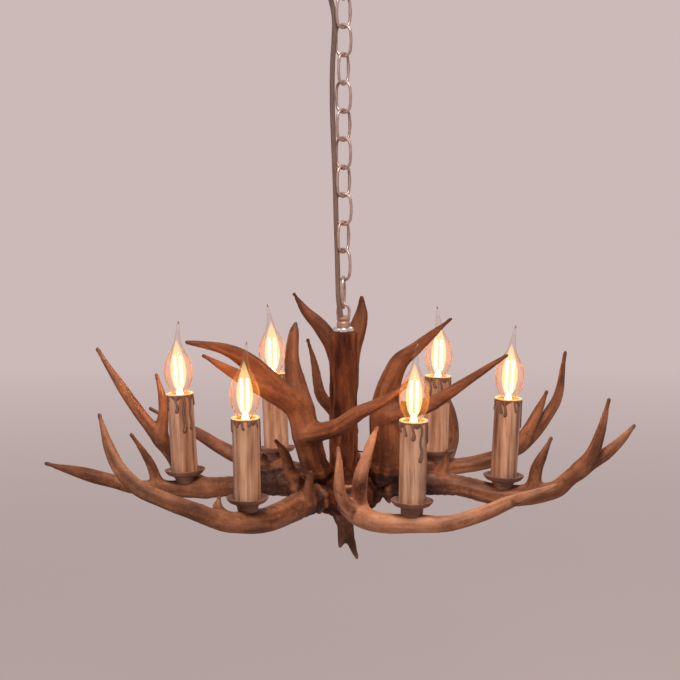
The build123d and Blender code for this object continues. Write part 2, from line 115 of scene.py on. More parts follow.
world = bpy.data.worlds.new("surround")
scene.world = world
world.use_nodes = True
sky = world.node_tree
sky.nodes.clear()
seen = sky.nodes.new("ShaderNodeBackground")
seen.inputs["Color"].default_value = (*surround, 1)
shine = sky.nodes.new("ShaderNodeBackground")
shine.inputs["Color"].default_value = (*shine_colour, 1)
shine.inputs["Strength"].default_value = shine_strength
rays = sky.nodes.new("ShaderNodeLightPath")
seen_or_not = rays.outputs["Is Camera Ray"]
for kind in ("Is Glossy Ray", "Is Transmission Ray"):
    either = sky.nodes.new("ShaderNodeMath")
    either.operation = "MAXIMUM"
    sky.links.new(seen_or_not, either.inputs[0])
    sky.links.new(rays.outputs[kind], either.inputs[1])
    seen_or_not = either.outputs[0]
choice = sky.nodes.new("ShaderNodeMixShader")
sky.links.new(seen_or_not, choice.inputs[0])
sky.links.new(shine.outputs[0], choice.inputs[1])
sky.links.new(seen.outputs[0], choice.inputs[2])
sky.links.new(choice.outputs[0], sky.nodes.new("ShaderNodeOutputWorld").inputs["Surface"])


class Value:
    """One number of a finish; arithmetic on it adds the nodes that work it out."""

    def __init__(self, finish, socket):
        self.finish = finish
        self.socket = socket

    def worked(self, operation, *terms):
        return self.finish.node("ShaderNodeMath", {"operation": operation}, dict(enumerate(terms)))

    def sine(self):
        return self.worked("SINE", self)

    def __add__(self, other):
        return self.worked("ADD", self, other)

    def __sub__(self, other):
        return self.worked("SUBTRACT", self, other)

    def __rsub__(self, other):
        return self.worked("SUBTRACT", other, self)

    def __mul__(self, other):
        return self.worked("MULTIPLY", self, other)

    def __pow__(self, other):
        return self.worked("POWER", self, other)


class Finish:
    """One material: a Principled shader and the nodes that feed it."""

    def __init__(self, name):
        self.material = bpy.data.materials.new(name)
        self.material.use_nodes = True
        self.tree = self.material.node_tree
        self.tree.nodes.clear()
        self.shader = self.tree.nodes.new("ShaderNodeBsdfPrincipled")
        output = self.tree.nodes.new("ShaderNodeOutputMaterial")
        self.tree.links.new(self.shader.outputs[0], output.inputs["Surface"])

    def feed(self, socket, value):
        if isinstance(value, Value):
            self.tree.links.new(value.socket, socket)
        elif hasattr(value, "__len__") and len(socket.default_value) == len(value) + 1:
            socket.default_value = (*value, 1)
        else:
            socket.default_value = value

    def node(self, kind, settings=None, values=None, output=0):
        made = self.tree.nodes.new(kind)
        for key, setting in (settings or {}).items():
            if key == "stops":
                ramp = made.color_ramp
                while len(ramp.elements) < len(setting):
                    ramp.elements.new(0.5)
                for element, (place, colour) in zip(ramp.elements, setting):
                    element.position = place
                    element.color = (*colour, 1)
            else:
                setattr(made, key, setting)
        for key, value in (values or {}).items():
            self.feed(made.inputs[key], value)
        return Value(self, made.outputs[output])

    def place(self, stretch=(1, 1, 1)):
        """Object coordinates in metres, squeezed or stretched along each axis."""
        where = self.node("ShaderNodeTexCoord", output="Object")
        return self.node("ShaderNodeMapping", {}, {"Vector": where, "Scale": stretch})

    def attribute(self, name):
        return self.node("ShaderNodeAttribute", {"attribute_name": name}, output="Fac")

    def speckle(self, where, scale, detail=4, roughness=0.55):
        return self.node("ShaderNodeTexNoise", {}, {
            "Vector": where, "Scale": scale, "Detail": detail, "Roughness": roughness})

    def ramp(self, amount, *stops):
        return self.node("ShaderNodeValToRGB", {"stops": stops}, {"Fac": amount})

    def mix(self, share, first, second):
        """A colour between two others."""
        return self.node("ShaderNodeMix", {"data_type": "RGBA"}, {0: share, 6: first, 7: second}, 2)

    def rise(self, amount, low, high):
        """0 below one amount, 1 above another, and straight between them."""
        return self.node("ShaderNodeMapRange", {}, {
            "Value": amount, "From Min": low, "From Max": high})

    def relief(self, height, depth):
        """The normal of a rough surface whose height runs from 0 to 1 over a depth in metres."""
        return self.node("ShaderNodeBump", {}, {"Height": height, "Distance": depth})

    def surface(self, **values):
        for name, value in values.items():
            self.feed(self.shader.inputs[name.replace("_", " ")], value)
        return self.material


floor_finish = Finish("pale_floor")
floor_place = floor_finish.place()
floor_reach = floor_finish.node("ShaderNodeVectorMath", {"operation": "LENGTH"},
                                {0: floor_place}, "Value")
floor_far = floor_finish.rise(floor_reach, *floor_fades)
floor_finish.surface(Base_Color=floor_finish.mix(floor_far, floor_colour, black), Roughness=0.9,
                     Emission_Color=floor_finish.mix(floor_far, black, surround),
                     Emission_Strength=1.0, Specular_IOR_Level=0.0)
floor_bm = bmesh.new()
bmesh.ops.create_circle(floor_bm, cap_ends=True, segments=96, radius=floor_radius)
bmesh.ops.translate(floor_bm, verts=floor_bm.verts, vec=(0, 0, cad_low.z - floor_below_lamp))
floor_mesh = bpy.data.meshes.new("floor")
floor_bm.to_mesh(floor_mesh)
floor_bm.free()
floor_mesh.materials.append(floor_finish.material)
floor = bpy.data.objects.new("floor", floor_mesh)
scene.collection.objects.link(floor)

# ---------------------------------------------------------------------------------------------
# The supply cable: two cores in a brown woven sleeve, 6 mm thick. It leaves the grip under the
# canopy, runs down the left side of the chain, passes in front of the loop and goes into the
# collar's pocket. Its points are the route's own, from the ceiling down.
cable_diameter = 0.006
thread_pace = 3600              # radians of a thread's wave in each metre of cable
thread_slant = 1.4
thread_relief = 0.0003
cable_route = [
    (-0.026, 0, -0.046), (-0.026, 0, -0.074), (-0.0176, 0.0008, -0.108), (-0.010, 0.0015, -0.138),
    (-0.011, -0.0006, -0.166), (-0.0132, -0.0015, -0.197), (-0.0133, -0.0012, -0.242),
    (-0.0118, -0.0017, -0.284), (-0.0098, -0.0014, -0.329), (-0.0088, -0.0019, -0.374),
    (-0.0074, -0.0015, -0.416), (-0.0066, -0.0034, -0.4487), (-0.006, -0.0078, -0.4767),
    (-0.0016, -0.0026, -0.4987),
]


def smooth_line(points, thickness=0.0):
    """A NURBS curve with these control points, as a mesh: a line, or a tube of that thickness."""
    curve = bpy.data.curves.new("line", "CURVE")
    curve.dimensions = "3D"
    spline = curve.splines.new("NURBS")
    spline.points.add(len(points) - 1)
    for point, place in zip(spline.points, points):
        point.co = (*place, 1)
    spline.order_u = 3
    spline.use_endpoint_u = True
    curve.resolution_u = 8
    curve.bevel_depth = thickness / 2
    curve.bevel_resolution = 5 if thickness > 0.002 else 3
    curve.use_fill_caps = True
    holder = bpy.data.objects.new("line", curve)
    mesh = bpy.data.meshes.new_from_object(holder)
    bpy.data.objects.remove(holder)
    bpy.data.curves.remove(curve)
    return mesh


def piece(name, mesh, finish, body, nodes=()):
    """A finished piece: its mesh, its material, the body it moves with and what it replaces."""
    mesh.name = name
    mesh.materials.clear()
    mesh.materials.append(finish)
    mesh.polygons.foreach_set("use_smooth", [True] * len(mesh.polygons))
    made = bpy.data.objects.new(name, mesh)
    scene.collection.objects.link(made)
    if body:
        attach(made, body)
    if nodes:
        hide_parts(*nodes)
    return made


def woven_finish():
    """Brown thread laid in two crossing spirals round the cable."""
    finish = Finish("woven_sleeve")
    where = finish.place()
    height = finish.node("ShaderNodeSeparateXYZ", {}, {"Vector": where}, "Z")
    across = finish.node("ShaderNodeSeparateXYZ", {}, {"Vector": where}, "X")
    rising = ((height + across * thread_slant) * thread_pace).sine()
    falling = ((height - across * thread_slant) * thread_pace).sine()
    thread = (rising * falling) * 0.5 + 0.5
    patch = finish.speckle(finish.place((1, 1, 0.25)), 160, 3)
    olive_at_top = finish.rise(height, -0.23, -0.10)
    sheath = finish.mix(olive_at_top, (0.140, 0.077, 0.058), (0.085, 0.063, 0.041))
    colour = finish.mix(thread * 0.55, sheath, (0.055, 0.032, 0.024))
    colour = finish.mix(finish.rise(patch, 0.35, 0.75) * 0.5, colour, (0.215, 0.132, 0.103))
    return finish.surface(Base_Color=colour, Roughness=0.78,
                          Normal=finish.relief(thread, thread_relief))


cable_line = smooth_line(cable_route)
cable = piece("supply_cable_woven", smooth_line(cable_route, cable_diameter), woven_finish(),
              None, ["supply_cable"])
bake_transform(cable)

# ---------------------------------------------------------------------------------------------
# The ceiling fitting: a zinc-plated strip with its connector block and tube, a spun steel canopy
# in hand-rubbed bronze, a hook eye screwed to its foot and a plastic grip for the cable. Each
# turned piece is spun from half its section.
eye_radius = 0.0132
eye_wire = 0.0044
eye_middle = -0.073
grip_place = (-0.026, 0)


def turned(profile, segments=48):
    """A bmesh turned about the upright axis from half a section of (radius, height) corners."""
    bm = bmesh.new()
    points = [bm.verts.new((max(radius, 0), 0, height)) for radius, height in profile]
    edges = [bm.edges.new(pair) for pair in zip(points, points[1:])]
    bmesh.ops.spin(bm, geom=points + edges, axis=(0, 0, 1), cent=(0, 0, 0), steps=segments,
                   angle=2 * math.pi, use_merge=True)
    bmesh.ops.remove_doubles(bm, verts=bm.verts, dist=1e-6)
    bmesh.ops.recalc_face_normals(bm, faces=bm.faces)
    return bm


def rounded(profile, radius=0.0006, closed=False):
    """A half section with its corners eased."""
    eased = []
    steps = 3
    count = len(profile)
    for index, corner in enumerate(profile):
        if not closed and index in (0, count - 1):
            eased.append(corner)
            continue
        here = Vector(corner)
        before = Vector(profile[index - 1]) - here
        after = Vector(profile[(index + 1) % count]) - here
        reach = min(radius, before.length * 0.45, after.length * 0.45)
        start = here + before.normalized() * reach
        end = here + after.normalized() * reach
        for step in range(steps + 1):
            share = step / steps
            eased.append(tuple(start * (1 - share) ** 2 + here * 2 * share * (1 - share)
                               + end * share ** 2))
    if closed:
        eased.append(eased[0])
    return eased


def as_mesh(bm):
    """A mesh of what the bmesh holds, which is then freed."""
    mesh = bpy.data.meshes.new("mesh")
    bm.to_mesh(mesh)
    bm.free()
    return mesh


def joined(*bms):
    """Several bmeshes as one mesh."""
    whole = bmesh.new()
    for bm in bms:
        mesh = as_mesh(bm)
        whole.from_mesh(mesh)
        bpy.data.meshes.remove(mesh)
    return as_mesh(whole)


def rubbed_bronze(name, base, worn, metallic=0.75):
    """Painted bronze with the paint rubbed thin in patches."""
    finish = Finish(name)
    where = finish.place()
    patch = finish.speckle(where, 55, 5)
    grain = finish.speckle(where, 900, 2)
    colour = finish.mix(finish.rise(patch, 0.42, 0.72), base, worn)
    colour = finish.mix(grain * 0.35, colour, tuple(0.45 * part for part in base))
    return finish.surface(Base_Color=colour, Metallic=metallic, Roughness=patch * 0.3 + 0.32,
                          Normal=finish.relief(grain, 0.00012))


def mottled(name, first, second, scale, detail, roughness):
    """Moulded plastic or lacquer, in two shades that run into each other."""
    finish = Finish(name)
    shade = finish.speckle(finish.place(), scale, detail)
    return finish.surface(Base_Color=finish.mix(shade, first, second), Roughness=roughness)


def brushed_steel(name, colour):
    """Plain plated steel with faint scratches."""
    finish = Finish(name)
    scratch = finish.speckle(finish.place((1, 14, 14)), 120, 3)
    scratched = finish.mix(scratch, colour, tuple(0.7 * part for part in colour))
    return finish.surface(Base_Color=scratched, Metallic=1.0, Roughness=scratch * 0.25 + 0.28)


def torus(radius, wire, middle, around=48, turn=None):
    """A ring of round wire, or part of one, that stands upright along the X axis."""
    bm = bmesh.new()
    circle = bmesh.ops.create_circle(bm, segments=16, radius=wire / 2,
                                     matrix=Matrix.Translation((radius, 0, 0)))["verts"]
    edges = list({edge for vertex in circle for edge in vertex.link_edges})
    bmesh.ops.spin(bm, geom=circle + edges, axis=(0, -1, 0), cent=(0, 0, 0), steps=around,
                   angle=turn or 2 * math.pi, use_merge=turn is None)
    bmesh.ops.remove_doubles(bm, verts=bm.verts, dist=1e-6)
    bmesh.ops.translate(bm, verts=bm.verts, vec=middle)
    bmesh.ops.recalc_face_normals(bm, faces=bm.faces)
    return bm


def open_end(bm, side):
    """The edges of bent wire's open end on the left (-1) or the right (1)."""
    return [edge for edge in bm.edges
            if len(edge.link_faces) == 1 and edge.verts[0].co.x * side > 0]


canopy_bronze = rubbed_bronze("canopy_bronze", (0.125, 0.072, 0.052), (0.235, 0.145, 0.110))
canopy_side = [
    (0.0051, -0.050), (0.033, -0.050), (0.040, -0.0482), (0.0475, -0.0432), (0.0540, -0.0350),
    (0.0585, -0.0255), (0.0612, -0.0150), (0.0622, -0.0060), (0.0625, -0.0006), (0.0611, -0.0006),
    (0.0608, -0.0060), (0.0598, -0.0150), (0.0571, -0.0250), (0.0527, -0.0342), (0.0465, -0.0420),
    (0.0395, -0.0468), (0.0325, -0.0486), (0.0051, -0.0486), (0.0051, -0.050),
]
piece("canopy_spun", as_mesh(turned(canopy_side, 96)), canopy_bronze, "ceiling",
      ["canopy"])

hook_boss = turned(rounded([(0, -0.050), (0.0085, -0.050), (0.0085, -0.053), (0.0068, -0.0545),
                            (0.0068, -0.0575), (0.0080, -0.0590), (0.0080, -0.0605),
                            (0.0045, -0.0625), (0, -0.0625)], 0.0008), 40)
hook_eye = torus(eye_radius, eye_wire, (0, 0, eye_middle))
piece("canopy_hook_turned", joined(hook_boss, hook_eye), canopy_bronze, "ceiling",
      ["canopy_hook"])

grip_finish = mottled("grip_plastic", (0.052, 0.030, 0.022), (0.085, 0.052, 0.040), 240, 3, 0.45)
grip_bm = turned(rounded([
    (0.0035, -0.0426), (0.0060, -0.0426), (0.0060, -0.050), (0.0088, -0.050), (0.0092, -0.0535),
    (0.0084, -0.0550), (0.0092, -0.0565), (0.0084, -0.0580), (0.0092, -0.0595),
    (0.0098, -0.0652), (0.0092, -0.066), (0.0080, -0.0655), (0.0056, -0.0615),
    (0.0042, -0.0570), (0.0035, -0.0520)], 0.0005, closed=True), 40)
bmesh.ops.translate(grip_bm, verts=grip_bm.verts, vec=(*grip_place, 0))
piece("cable_grip_moulded", as_mesh(grip_bm), grip_finish, "ceiling",
      ["cable_grip"])

plated = brushed_steel("plated_steel", (0.56, 0.55, 0.53))
block_finish = mottled("connector_plastic", (0.72, 0.69, 0.63), (0.62, 0.58, 0.51), 300, 2, 0.5)


def refinish(node, finish):
    """Gives a CAD node that stays as it is a better finish."""
    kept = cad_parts[node]
    kept.data.materials.clear()
    kept.data.materials.append(finish)


for node in ("ceiling_bracket", "canopy_tube", "canopy_lock_nut", "column_tube", "candle_studs"):
    refinish(node, plated)
refinish("terminal_block", block_finish)

# ---------------------------------------------------------------------------------------------
# The chain: welded steel links of 3.4 mm wire in aged copper-pink paint, worn where they touch.
# Each link hangs in the one above at its own angle, counted here from the lowest.
collar_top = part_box("column_collar")[1].z
link_wire = 0.0034
link_pitch = 0.033
link_play = 0.0003
link_width = 0.022
link_reach = (link_width - link_wire) / 2
link_bow = 0.0007               # how far a link's straight sides bulge
weld_length = 0.4               # as a share of the straight side
weld_swell = 0.22
link_yaws = (84, 142, 52, 157, 44, 147, 41, 147, 55, 152, 38, 104)
loop_window = 0.012             # from the collar's top to the loop's wire
lowest_contact = collar_top + loop_window


def aged_copper():
    """Pinkish copper paint over steel, with brown rust in the worn places."""
    finish = Finish("aged_copper")
    where = finish.place()
    rust = finish.speckle(where, 130, 5, 0.65)
    fine = finish.speckle(where, 1400, 2)
    rusted = finish.rise(rust, 0.40, 0.66)
    colour = finish.mix(rusted, (0.470, 0.330, 0.295), (0.190, 0.098, 0.073))
    colour = finish.mix(fine * 0.3, colour, (0.520, 0.400, 0.360))
    return finish.surface(Base_Color=colour, Metallic=0.8 - rusted * 0.4,
                          Roughness=rust * 0.35 + 0.22, Normal=finish.relief(fine, 0.0001))


def chain_link(level, yaw):
    """A link of round wire: two half rings joined by straight sides, with a small weld."""
    straight = link_pitch + link_play + link_wire - 2 * link_reach
    bm = torus(link_reach, link_wire, (0, 0, 0), around=18, turn=math.pi)
    top = list(bm.verts)
    lower = bmesh.ops.duplicate(bm, geom=bm.verts[:] + bm.edges[:] + bm.faces[:])["geom"]
    lower = [part for part in lower if isinstance(part, bmesh.types.BMVert)]
    bmesh.ops.translate(bm, verts=top, vec=(0, 0, straight / 2))
    bmesh.ops.rotate(bm, verts=lower, cent=(0, 0, 0), matrix=Matrix.Rotation(math.pi, 3, "Y"))
    bmesh.ops.translate(bm, verts=lower, vec=(0, 0, -straight / 2))
    for side in (-1, 1):
        bmesh.ops.bridge_loops(bm, edges=open_end(bm, side))
    sides = [edge for edge in bm.edges
             if abs(edge.verts[0].co.z - edge.verts[1].co.z) > straight * 0.9]
    bmesh.ops.subdivide_edges(bm, edges=sides, cuts=5, use_grid_fill=True)
    for vertex in bm.verts:
        height = vertex.co.z / (straight / 2)
        if vertex.co.x > 0 and abs(height) < weld_length:
            outward = Vector((vertex.co.x - link_reach, vertex.co.y, 0))
            vertex.co += outward * weld_swell
        if abs(height) < 1:
            vertex.co.x += math.copysign(link_bow * (1 - height ** 2), vertex.co.x)
    bmesh.ops.recalc_face_normals(bm, faces=bm.faces)
    place = Matrix.Translation((0, 0, level - (link_pitch + link_play) / 2))
    turn = Matrix.Rotation(math.radians(yaw), 4, "Z")
    bmesh.ops.transform(bm, verts=bm.verts, matrix=place @ turn)
    return bm


copper = aged_copper()
for number, yaw in enumerate(link_yaws, 1):
    body = {11: "chain", 12: "top_link"}.get(number, f"link_{number:02d}")
    link_mesh = as_mesh(chain_link(lowest_contact + number * link_pitch, yaw))
    piece(f"chain_link_{number:02d}_welded", link_mesh, copper, body,
          [f"chain_link_{number:02d}"])

# ---------------------------------------------------------------------------------------------
# On top of the column: a wire loop that the chain carries, a turned bronze collar that takes the
# cable, and a polished washer under it.
column_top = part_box("bark_column")[1].z
loop_reach = 0.0068
loop_wire = 0.0034
loop_sunk = 0.0005              # how far the loop's feet go into the collar

loop_middle = collar_top + loop_window + loop_wire / 2 - loop_reach
loop_bm = torus(loop_reach, loop_wire, (0, 0, loop_middle), around=20, turn=math.pi)
for side in (-1, 1):
    grown = bmesh.ops.extrude_edge_only(loop_bm, edges=open_end(loop_bm, side))["geom"]
    for foot in grown:
        if isinstance(foot, bmesh.types.BMVert):
            foot.co.z = collar_top - loop_sunk
bmesh.ops.recalc_face_normals(loop_bm, faces=loop_bm.faces)
piece("column_loop_bent", as_mesh(loop_bm), copper, "chandelier", ["column_loop"])

collar_bronze = rubbed_bronze("collar_bronze", (0.300, 0.170, 0.125), (0.420, 0.270, 0.215), 0.55)
collar_bm = turned(rounded([
    (0, collar_top), (0.0062, collar_top), (0.0078, collar_top - 0.0012),
    (0.0080, collar_top - 0.0040), (0.0070, collar_top - 0.0052), (0.0070, collar_top - 0.0064),
    (0.0080, collar_top - 0.0076), (0.0080, collar_top - 0.0118), (0.0076, collar_top - 0.013),
    (0, collar_top - 0.013)], 0.0006), 44)
piece("column_collar_turned", as_mesh(collar_bm), collar_bronze, "chandelier",
      ["column_collar"])

chrome = Finish("polished_washer")
smear = chrome.speckle(chrome.place(), 90, 4)
chrome.surface(Base_Color=(0.72, 0.70, 0.70), Metallic=1.0, Roughness=smear * 0.22 + 0.06)
washer_bm = turned(rounded([
    (0.0051, column_top), (0.0116, column_top), (0.0120, column_top + 0.0020),
    (0.0117, column_top + 0.0048), (0.0105, column_top + 0.0060), (0.0051, column_top + 0.0060)],
    0.0007, closed=True), 56)
piece("column_washer_polished", as_mesh(washer_bm), chrome.material, "chandelier",
      ["column_washer"])

# ---------------------------------------------------------------------------------------------
# The column and the hub: cast resin in the shape of bark. The column has long upright ridges;
# the hub is a rough burr that the antlers are set in. Both carry a dark brown glaze.
seats = column_top - 0.174      # the level of the drip pans' floors
bark_relief = 0.0006
column_radius = 0.0165
column_relief = 0.0022
column_rings = 110
hub_radius = 0.0475
hub_half_height = 0.030
hub_centre_drop = 0.016
hub_relief = 0.0036
hub_lumps = 0.0040


def bark_height(place, stretch):
    """How far bark stands out at a place, from 0 to 1: ridges split by fine cracks."""
    where = Vector((place[0], place[1], place[2] * stretch))
    ridge = 1 - abs(noise.noise(where * 95)) * 2.2
    crack = noise.fractal(where * 260, 0.6, 2.1, 4)
    return 0.72 * max(0, ridge) + 0.28 * (0.5 + crack)


def shaded_by(mesh, name, values):
    """Stores one number for each vertex, for a finish to read."""
    layer = mesh.attributes.new(name, "FLOAT", "POINT")
    layer.data.foreach_set("value", values)


def bark_finish():
    """Dark resin glaze, redder on the ridges and nearly black in the cracks."""
    finish = Finish("bark_resin")
    where = finish.place((1, 1, 0.30))
    high = finish.attribute("stands_out")
    fine = finish.speckle(where, 480, 4, 0.7)
    patch = finish.speckle(finish.place(), 38, 3)
    colour = finish.ramp(high * 0.45 + fine * 0.55, (0.22, (0.010, 0.003, 0.002)),
                         (0.40, (0.050, 0.012, 0.004)), (0.60, (0.105, 0.026, 0.009)),
                         (0.85, (0.190, 0.060, 0.024)))
    colour = finish.mix(finish.rise(patch, 0.5, 0.8) * 0.6, colour, (0.095, 0.030, 0.012))
    return finish.surface(Base_Color=colour, Roughness=fine * 0.3 + 0.55, Specular_IOR_Level=0.12,
                          Normal=finish.relief(fine, bark_relief))


bark = bark_finish()
column_foot = seats + 0.004
column_profile = [(0.004, column_foot)]
for ring in range(column_rings + 1):
    level = column_foot + (column_top - column_foot) * ring / column_rings
    column_profile.append((column_radius, level))
column_profile.append((0.0052, column_top))
column_bm = turned(column_profile, 150)
column_highs = []
for vertex in column_bm.verts:
    outward = Vector((vertex.co.x, vertex.co.y, 0))
    stands = bark_height(vertex.co, 0.16)
    if outward.length > column_radius * 0.9:
        vertex.co += outward.normalized() * (stands - 0.75) * column_relief
    column_highs.append(stands)
column_mesh = as_mesh(column_bm)
shaded_by(column_mesh, "stands_out", column_highs)
piece("bark_column_cast", column_mesh, bark, "chandelier", ["bark_column"])

hub_bm = bmesh.new()
bmesh.ops.create_icosphere(hub_bm, subdivisions=6, radius=1)
hub_highs = []
for vertex in hub_bm.verts:
    way = vertex.co.copy()
    angle = math.atan2(way.y, way.x)
    rise = math.copysign(abs(way.z) ** 0.8, way.z)
    reach = hub_radius * math.hypot(way.x, way.y) ** 0.75 * (1 + 0.07 * math.sin(3 * angle))
    reach *= 1 - 0.22 * max(0, rise) ** 2 - 0.30 * max(0, -rise) ** 2
    vertex.co = Vector((reach * math.cos(angle), reach * math.sin(angle),
                        seats - hub_centre_drop + hub_half_height * rise))
    lumps = noise.fractal(vertex.co * 42, 0.8, 2.0, 3)
    stands = bark_height(vertex.co, 0.8)
    vertex.co += way * (lumps * hub_lumps + (stands - 0.6) * hub_relief)
    hub_highs.append(0.55 * stands + 0.3 * lumps)
hub_mesh = as_mesh(hub_bm)
shaded_by(hub_mesh, "stands_out", hub_highs)
piece("bark_hub_cast", hub_mesh, bark, "chandelier", ["bark_hub"])

# ---------------------------------------------------------------------------------------------
# A short black wire ties the column to the right upright. It is bound into both and shows only
# in the gap between them.
tie_wire_thickness = 0.0020
tie_wire_height = seats + 0.0315
tie_wire_sag = 0.0003

tie_wire_finish = mottled("black_wire", (0.016, 0.010, 0.008), (0.040, 0.028, 0.022), 400, 2, 0.5)
tie_wire_line = [(0.0145, -0.006, tie_wire_height), (0.025, -0.013, tie_wire_height - tie_wire_sag),
                 (0.038, -0.021, tie_wire_height)]
piece("column_tie_wire", smooth_line(tie_wire_line, tie_wire_thickness), tie_wire_finish,
      "chandelier")

# ---------------------------------------------------------------------------------------------
# The antlers: ten resin castings of deer antlers, hollow in fact and painted by hand. Six carry
# the candles, three stand round the column and the finial ends the hub below. Each beam and tine
# is a line of stations (x, y, height above the seats, radius) in millimetres from root to tip.
candle_radius = 191
candle_bearings = (-5.4, 53, 116, 174.6, 235, 294)
candle_leans = (3, 3, 5.5, 3.4, 2, 2)


def seat(index, drop, radius):
    """The station of a beam under its candle."""
    angle = math.radians(candle_bearings[index])
    return (candle_radius * math.cos(angle), candle_radius * math.sin(angle), -drop, radius)


def tine(points, root_radius):
    """The stations of a pointed tine."""
    last = len(points) - 1
    return [(*point, root_radius * (1 - 0.78 * (index / last) ** 1.8))
            for index, point in enumerate(points)]


antlers = {
    "antler_arm_right": (1.0, [
        [(40, 0, -10, 15.5), (75, -2, -8, 14.5), (132, -9, -9, 12.5), seat(0, 20, 12.5),
         (245, -25, -14, 11), (268, -30, 3, 9.5), (287, -37, 23, 8.5), (299, -44, 48, 7),
         (311, -54, 101, 1.8)],
        tine([(280, -34, 14), (309, -24, 30), (329, -15, 45), (346, -8, 62)], 8.5),
        tine([(112, -6, -4), (120, -14, 16), (123, -20, 34)], 7),
        tine([(225, -20, -14), (229, -28, 14), (237, -33, 34), (245, -36, 52)], 8)]),
    "antler_arm_back_right": (1.0, [
        [(27, 28, -14, 15), (62, 72, -15, 14), (92, 118, -18, 12), seat(1, 19, 11),
         (150, 162, -17, 10), (184, 168, -11, 10), (212, 172, 0, 9.4), (235, 176, 17, 8.8),
         (256, 180, 43, 7.5), (270, 180, 70, 6), (278, 175, 124, 1.8)],
        tine([(222, 174, 9), (235, 168, 33), (246, 164, 58), (254, 160, 77)], 8),
        [(118, 158, -19, 13), (126, 192, -10, 14), (132, 204, 14, 14.5), (130, 202, 45, 11.5),
         (118, 194, 92, 3)]]),
    "antler_arm_back_left": (1.0, [
        [(-15, 37, -14, 15), (-48, 95, -17, 14), (-70, 140, -19, 12.5), seat(2, 20, 12),
         (-108, 187, -16, 11), (-136, 200, -11, 10), (-160, 205, 1, 8.4), (-184, 205, 16, 7),
         (-244, 200, 49, 1.8)]]),
    "antler_arm_left": (1.0, [
        [(-42, 0, -9, 16), (-80, 5, -8, 16), (-128, 10, -14, 12.5), seat(3, 19, 11),
         (-246, 20, -18, 8.8), (-275, 26, -12, 8.3), (-312, 35, -4, 7.6), (-360, 45, 7, 1.8)],
        [(-166, 15, -17, 10.5), (-192, 55, -8, 10.4), (-209, 67, 16, 10), (-240, 70, 54, 7.8),
         (-271, 73, 98, 5.9), (-299, 78, 142, 1.9)],
        tine([(-222, 68, 32), (-219, 66, 75), (-227, 67, 112)], 7.5),
        tine([(-222, 18, -17), (-232, 12, 14), (-253, 0, 50)], 7.2),
        tine([(-60, -4, -4), (-70, -15, 30), (-80, -25, 47)], 7)]),
    "antler_arm_front_left": (1.0, [
        [(-25, -31, -17, 14.5), (-50, -66, -22, 15), (-85, -122, -27, 14.5), seat(4, 24, 13.5),
         (-138, -175, -19, 11), (-170, -190, -4, 10.5), (-204, -195, 10, 9.4), (-232, -190, 22, 9),
         (-254, -176, 42, 8), (-267, -163, 66, 6.2), (-278, -150, 99, 1.8)],
        tine([(-40, -72, -16), (-40, -85, 6), (-38, -92, 22)], 7.5),
        tine([(-136, -172, -18), (-143, -162, -8), (-142, -152, 4)], 8)]),
    "antler_arm_front_right": (1.0, [
        [(8, -39, -17, 15), (12, -90, -21, 14.5), (26, -138, -24, 12.5), (50, -164, -24, 11.5),
         seat(5, 22, 11), (120, -178, -21, 9.4), (161, -166, -11, 8.6), (192, -150, -1, 7.4),
         (246, -115, 11, 1.8)],
        tine([(14, -120, -18), (0, -156, 0), (-5, -170, 20), (-5, -175, 46), (-6, -172, 64)], 8),
        tine([(17, -112, -18), (19, -150, 25), (24, -155, 44), (32, -157, 70), (38, -155, 85)],
             9)]),
    "antler_upright_left": (0.72, [
        [(-29, -32, 3, 14), (-35, -43, 24, 16), (-42, -54, 53, 16.4), (-49, -60, 84, 15.5),
         (-54, -60, 113, 13), (-59, -57, 137, 10), (-60, -54, 155, 8.2), (-58, -50, 178, 6.4),
         (-56, -48, 190, 2.5)],
        tine([(-50, -60, 90), (-94, -86, 137), (-117, -100, 158), (-140, -110, 170),
              (-179, -125, 179)], 13),
        tine([(-62, -66, 98), (-94, -88, 120), (-126, -105, 140), (-160, -130, 164)], 11),
        tine([(-42, -56, 60), (-8, -84, 73), (17, -98, 92), (45, -112, 108), (76, -125, 134)],
             15)]),
    "antler_upright_right": (0.72, [
        [(45, -20, 5, 14), (50, -27, 24, 16.5), (49, -35, 50, 18), (48, -40, 80, 17),
         (50, -42, 101, 15.3), (56, -45, 124, 12.8), (66, -50, 146, 11), (84, -58, 162, 8),
         (103, -67, 180, 5), (124, -75, 199, 1.8)],
        tine([(50, -40, 82), (78, -50, 89), (104, -60, 98), (138, -72, 122), (188, -88, 158)],
             14)]),
    "antler_upright_back": (0.72, [
        [(2, 36, 4, 13.5), (2, 45, 35, 15.5), (1, 50, 77, 16), (0, 50, 118, 15),
         (-11, 50, 149, 12), (-28, 48, 174, 9), (-46, 45, 194, 6), (-59, 42, 214, 1.8)],
        tine([(3, 50, 106), (8, 52, 144), (18, 52, 174), (22, 50, 192), (22, 48, 209)], 13.5),
        tine([(-6, 46, 66), (-25, 40, 88), (-31, 36, 108), (-36, 34, 135), (-43, 32, 160)], 7.5)]),
    "antler_finial": (1.0, [
        [(0, 0, -42, 14.5), (0, 0, -48, 12), (1, 0, -55, 8.2), (4, 0, -64, 7.4), (8, 0, -76, 5.6),
         (12, 0, -88, 4.2), (16, 0, -99, 2.4)],
        [(2, 0, -60, 7), (-1, 0, -72, 5.6), (-4, 0, -85, 2.4)]]),
}
step_length = 0.004
skin_size = 0.0017
settling_rounds = 5             # how often the skin's points are moved onto the limbs
longest_move = 0.003
fillet = 0.0032                 # how far the crotch between two limbs is filled
bluntest_tip = 0.0026
usual_root_stain = 0.095        # how far from its root an antler turns dark and barky
usual_burr_rise = 0.0045
groove_depth = 0.0013
root_bark_depth = 0.0038
finial_bark_depth = 0.0018
grain_depth = 0.00018
tip_stain = 0.012               # how far the dark stain runs back from a tip
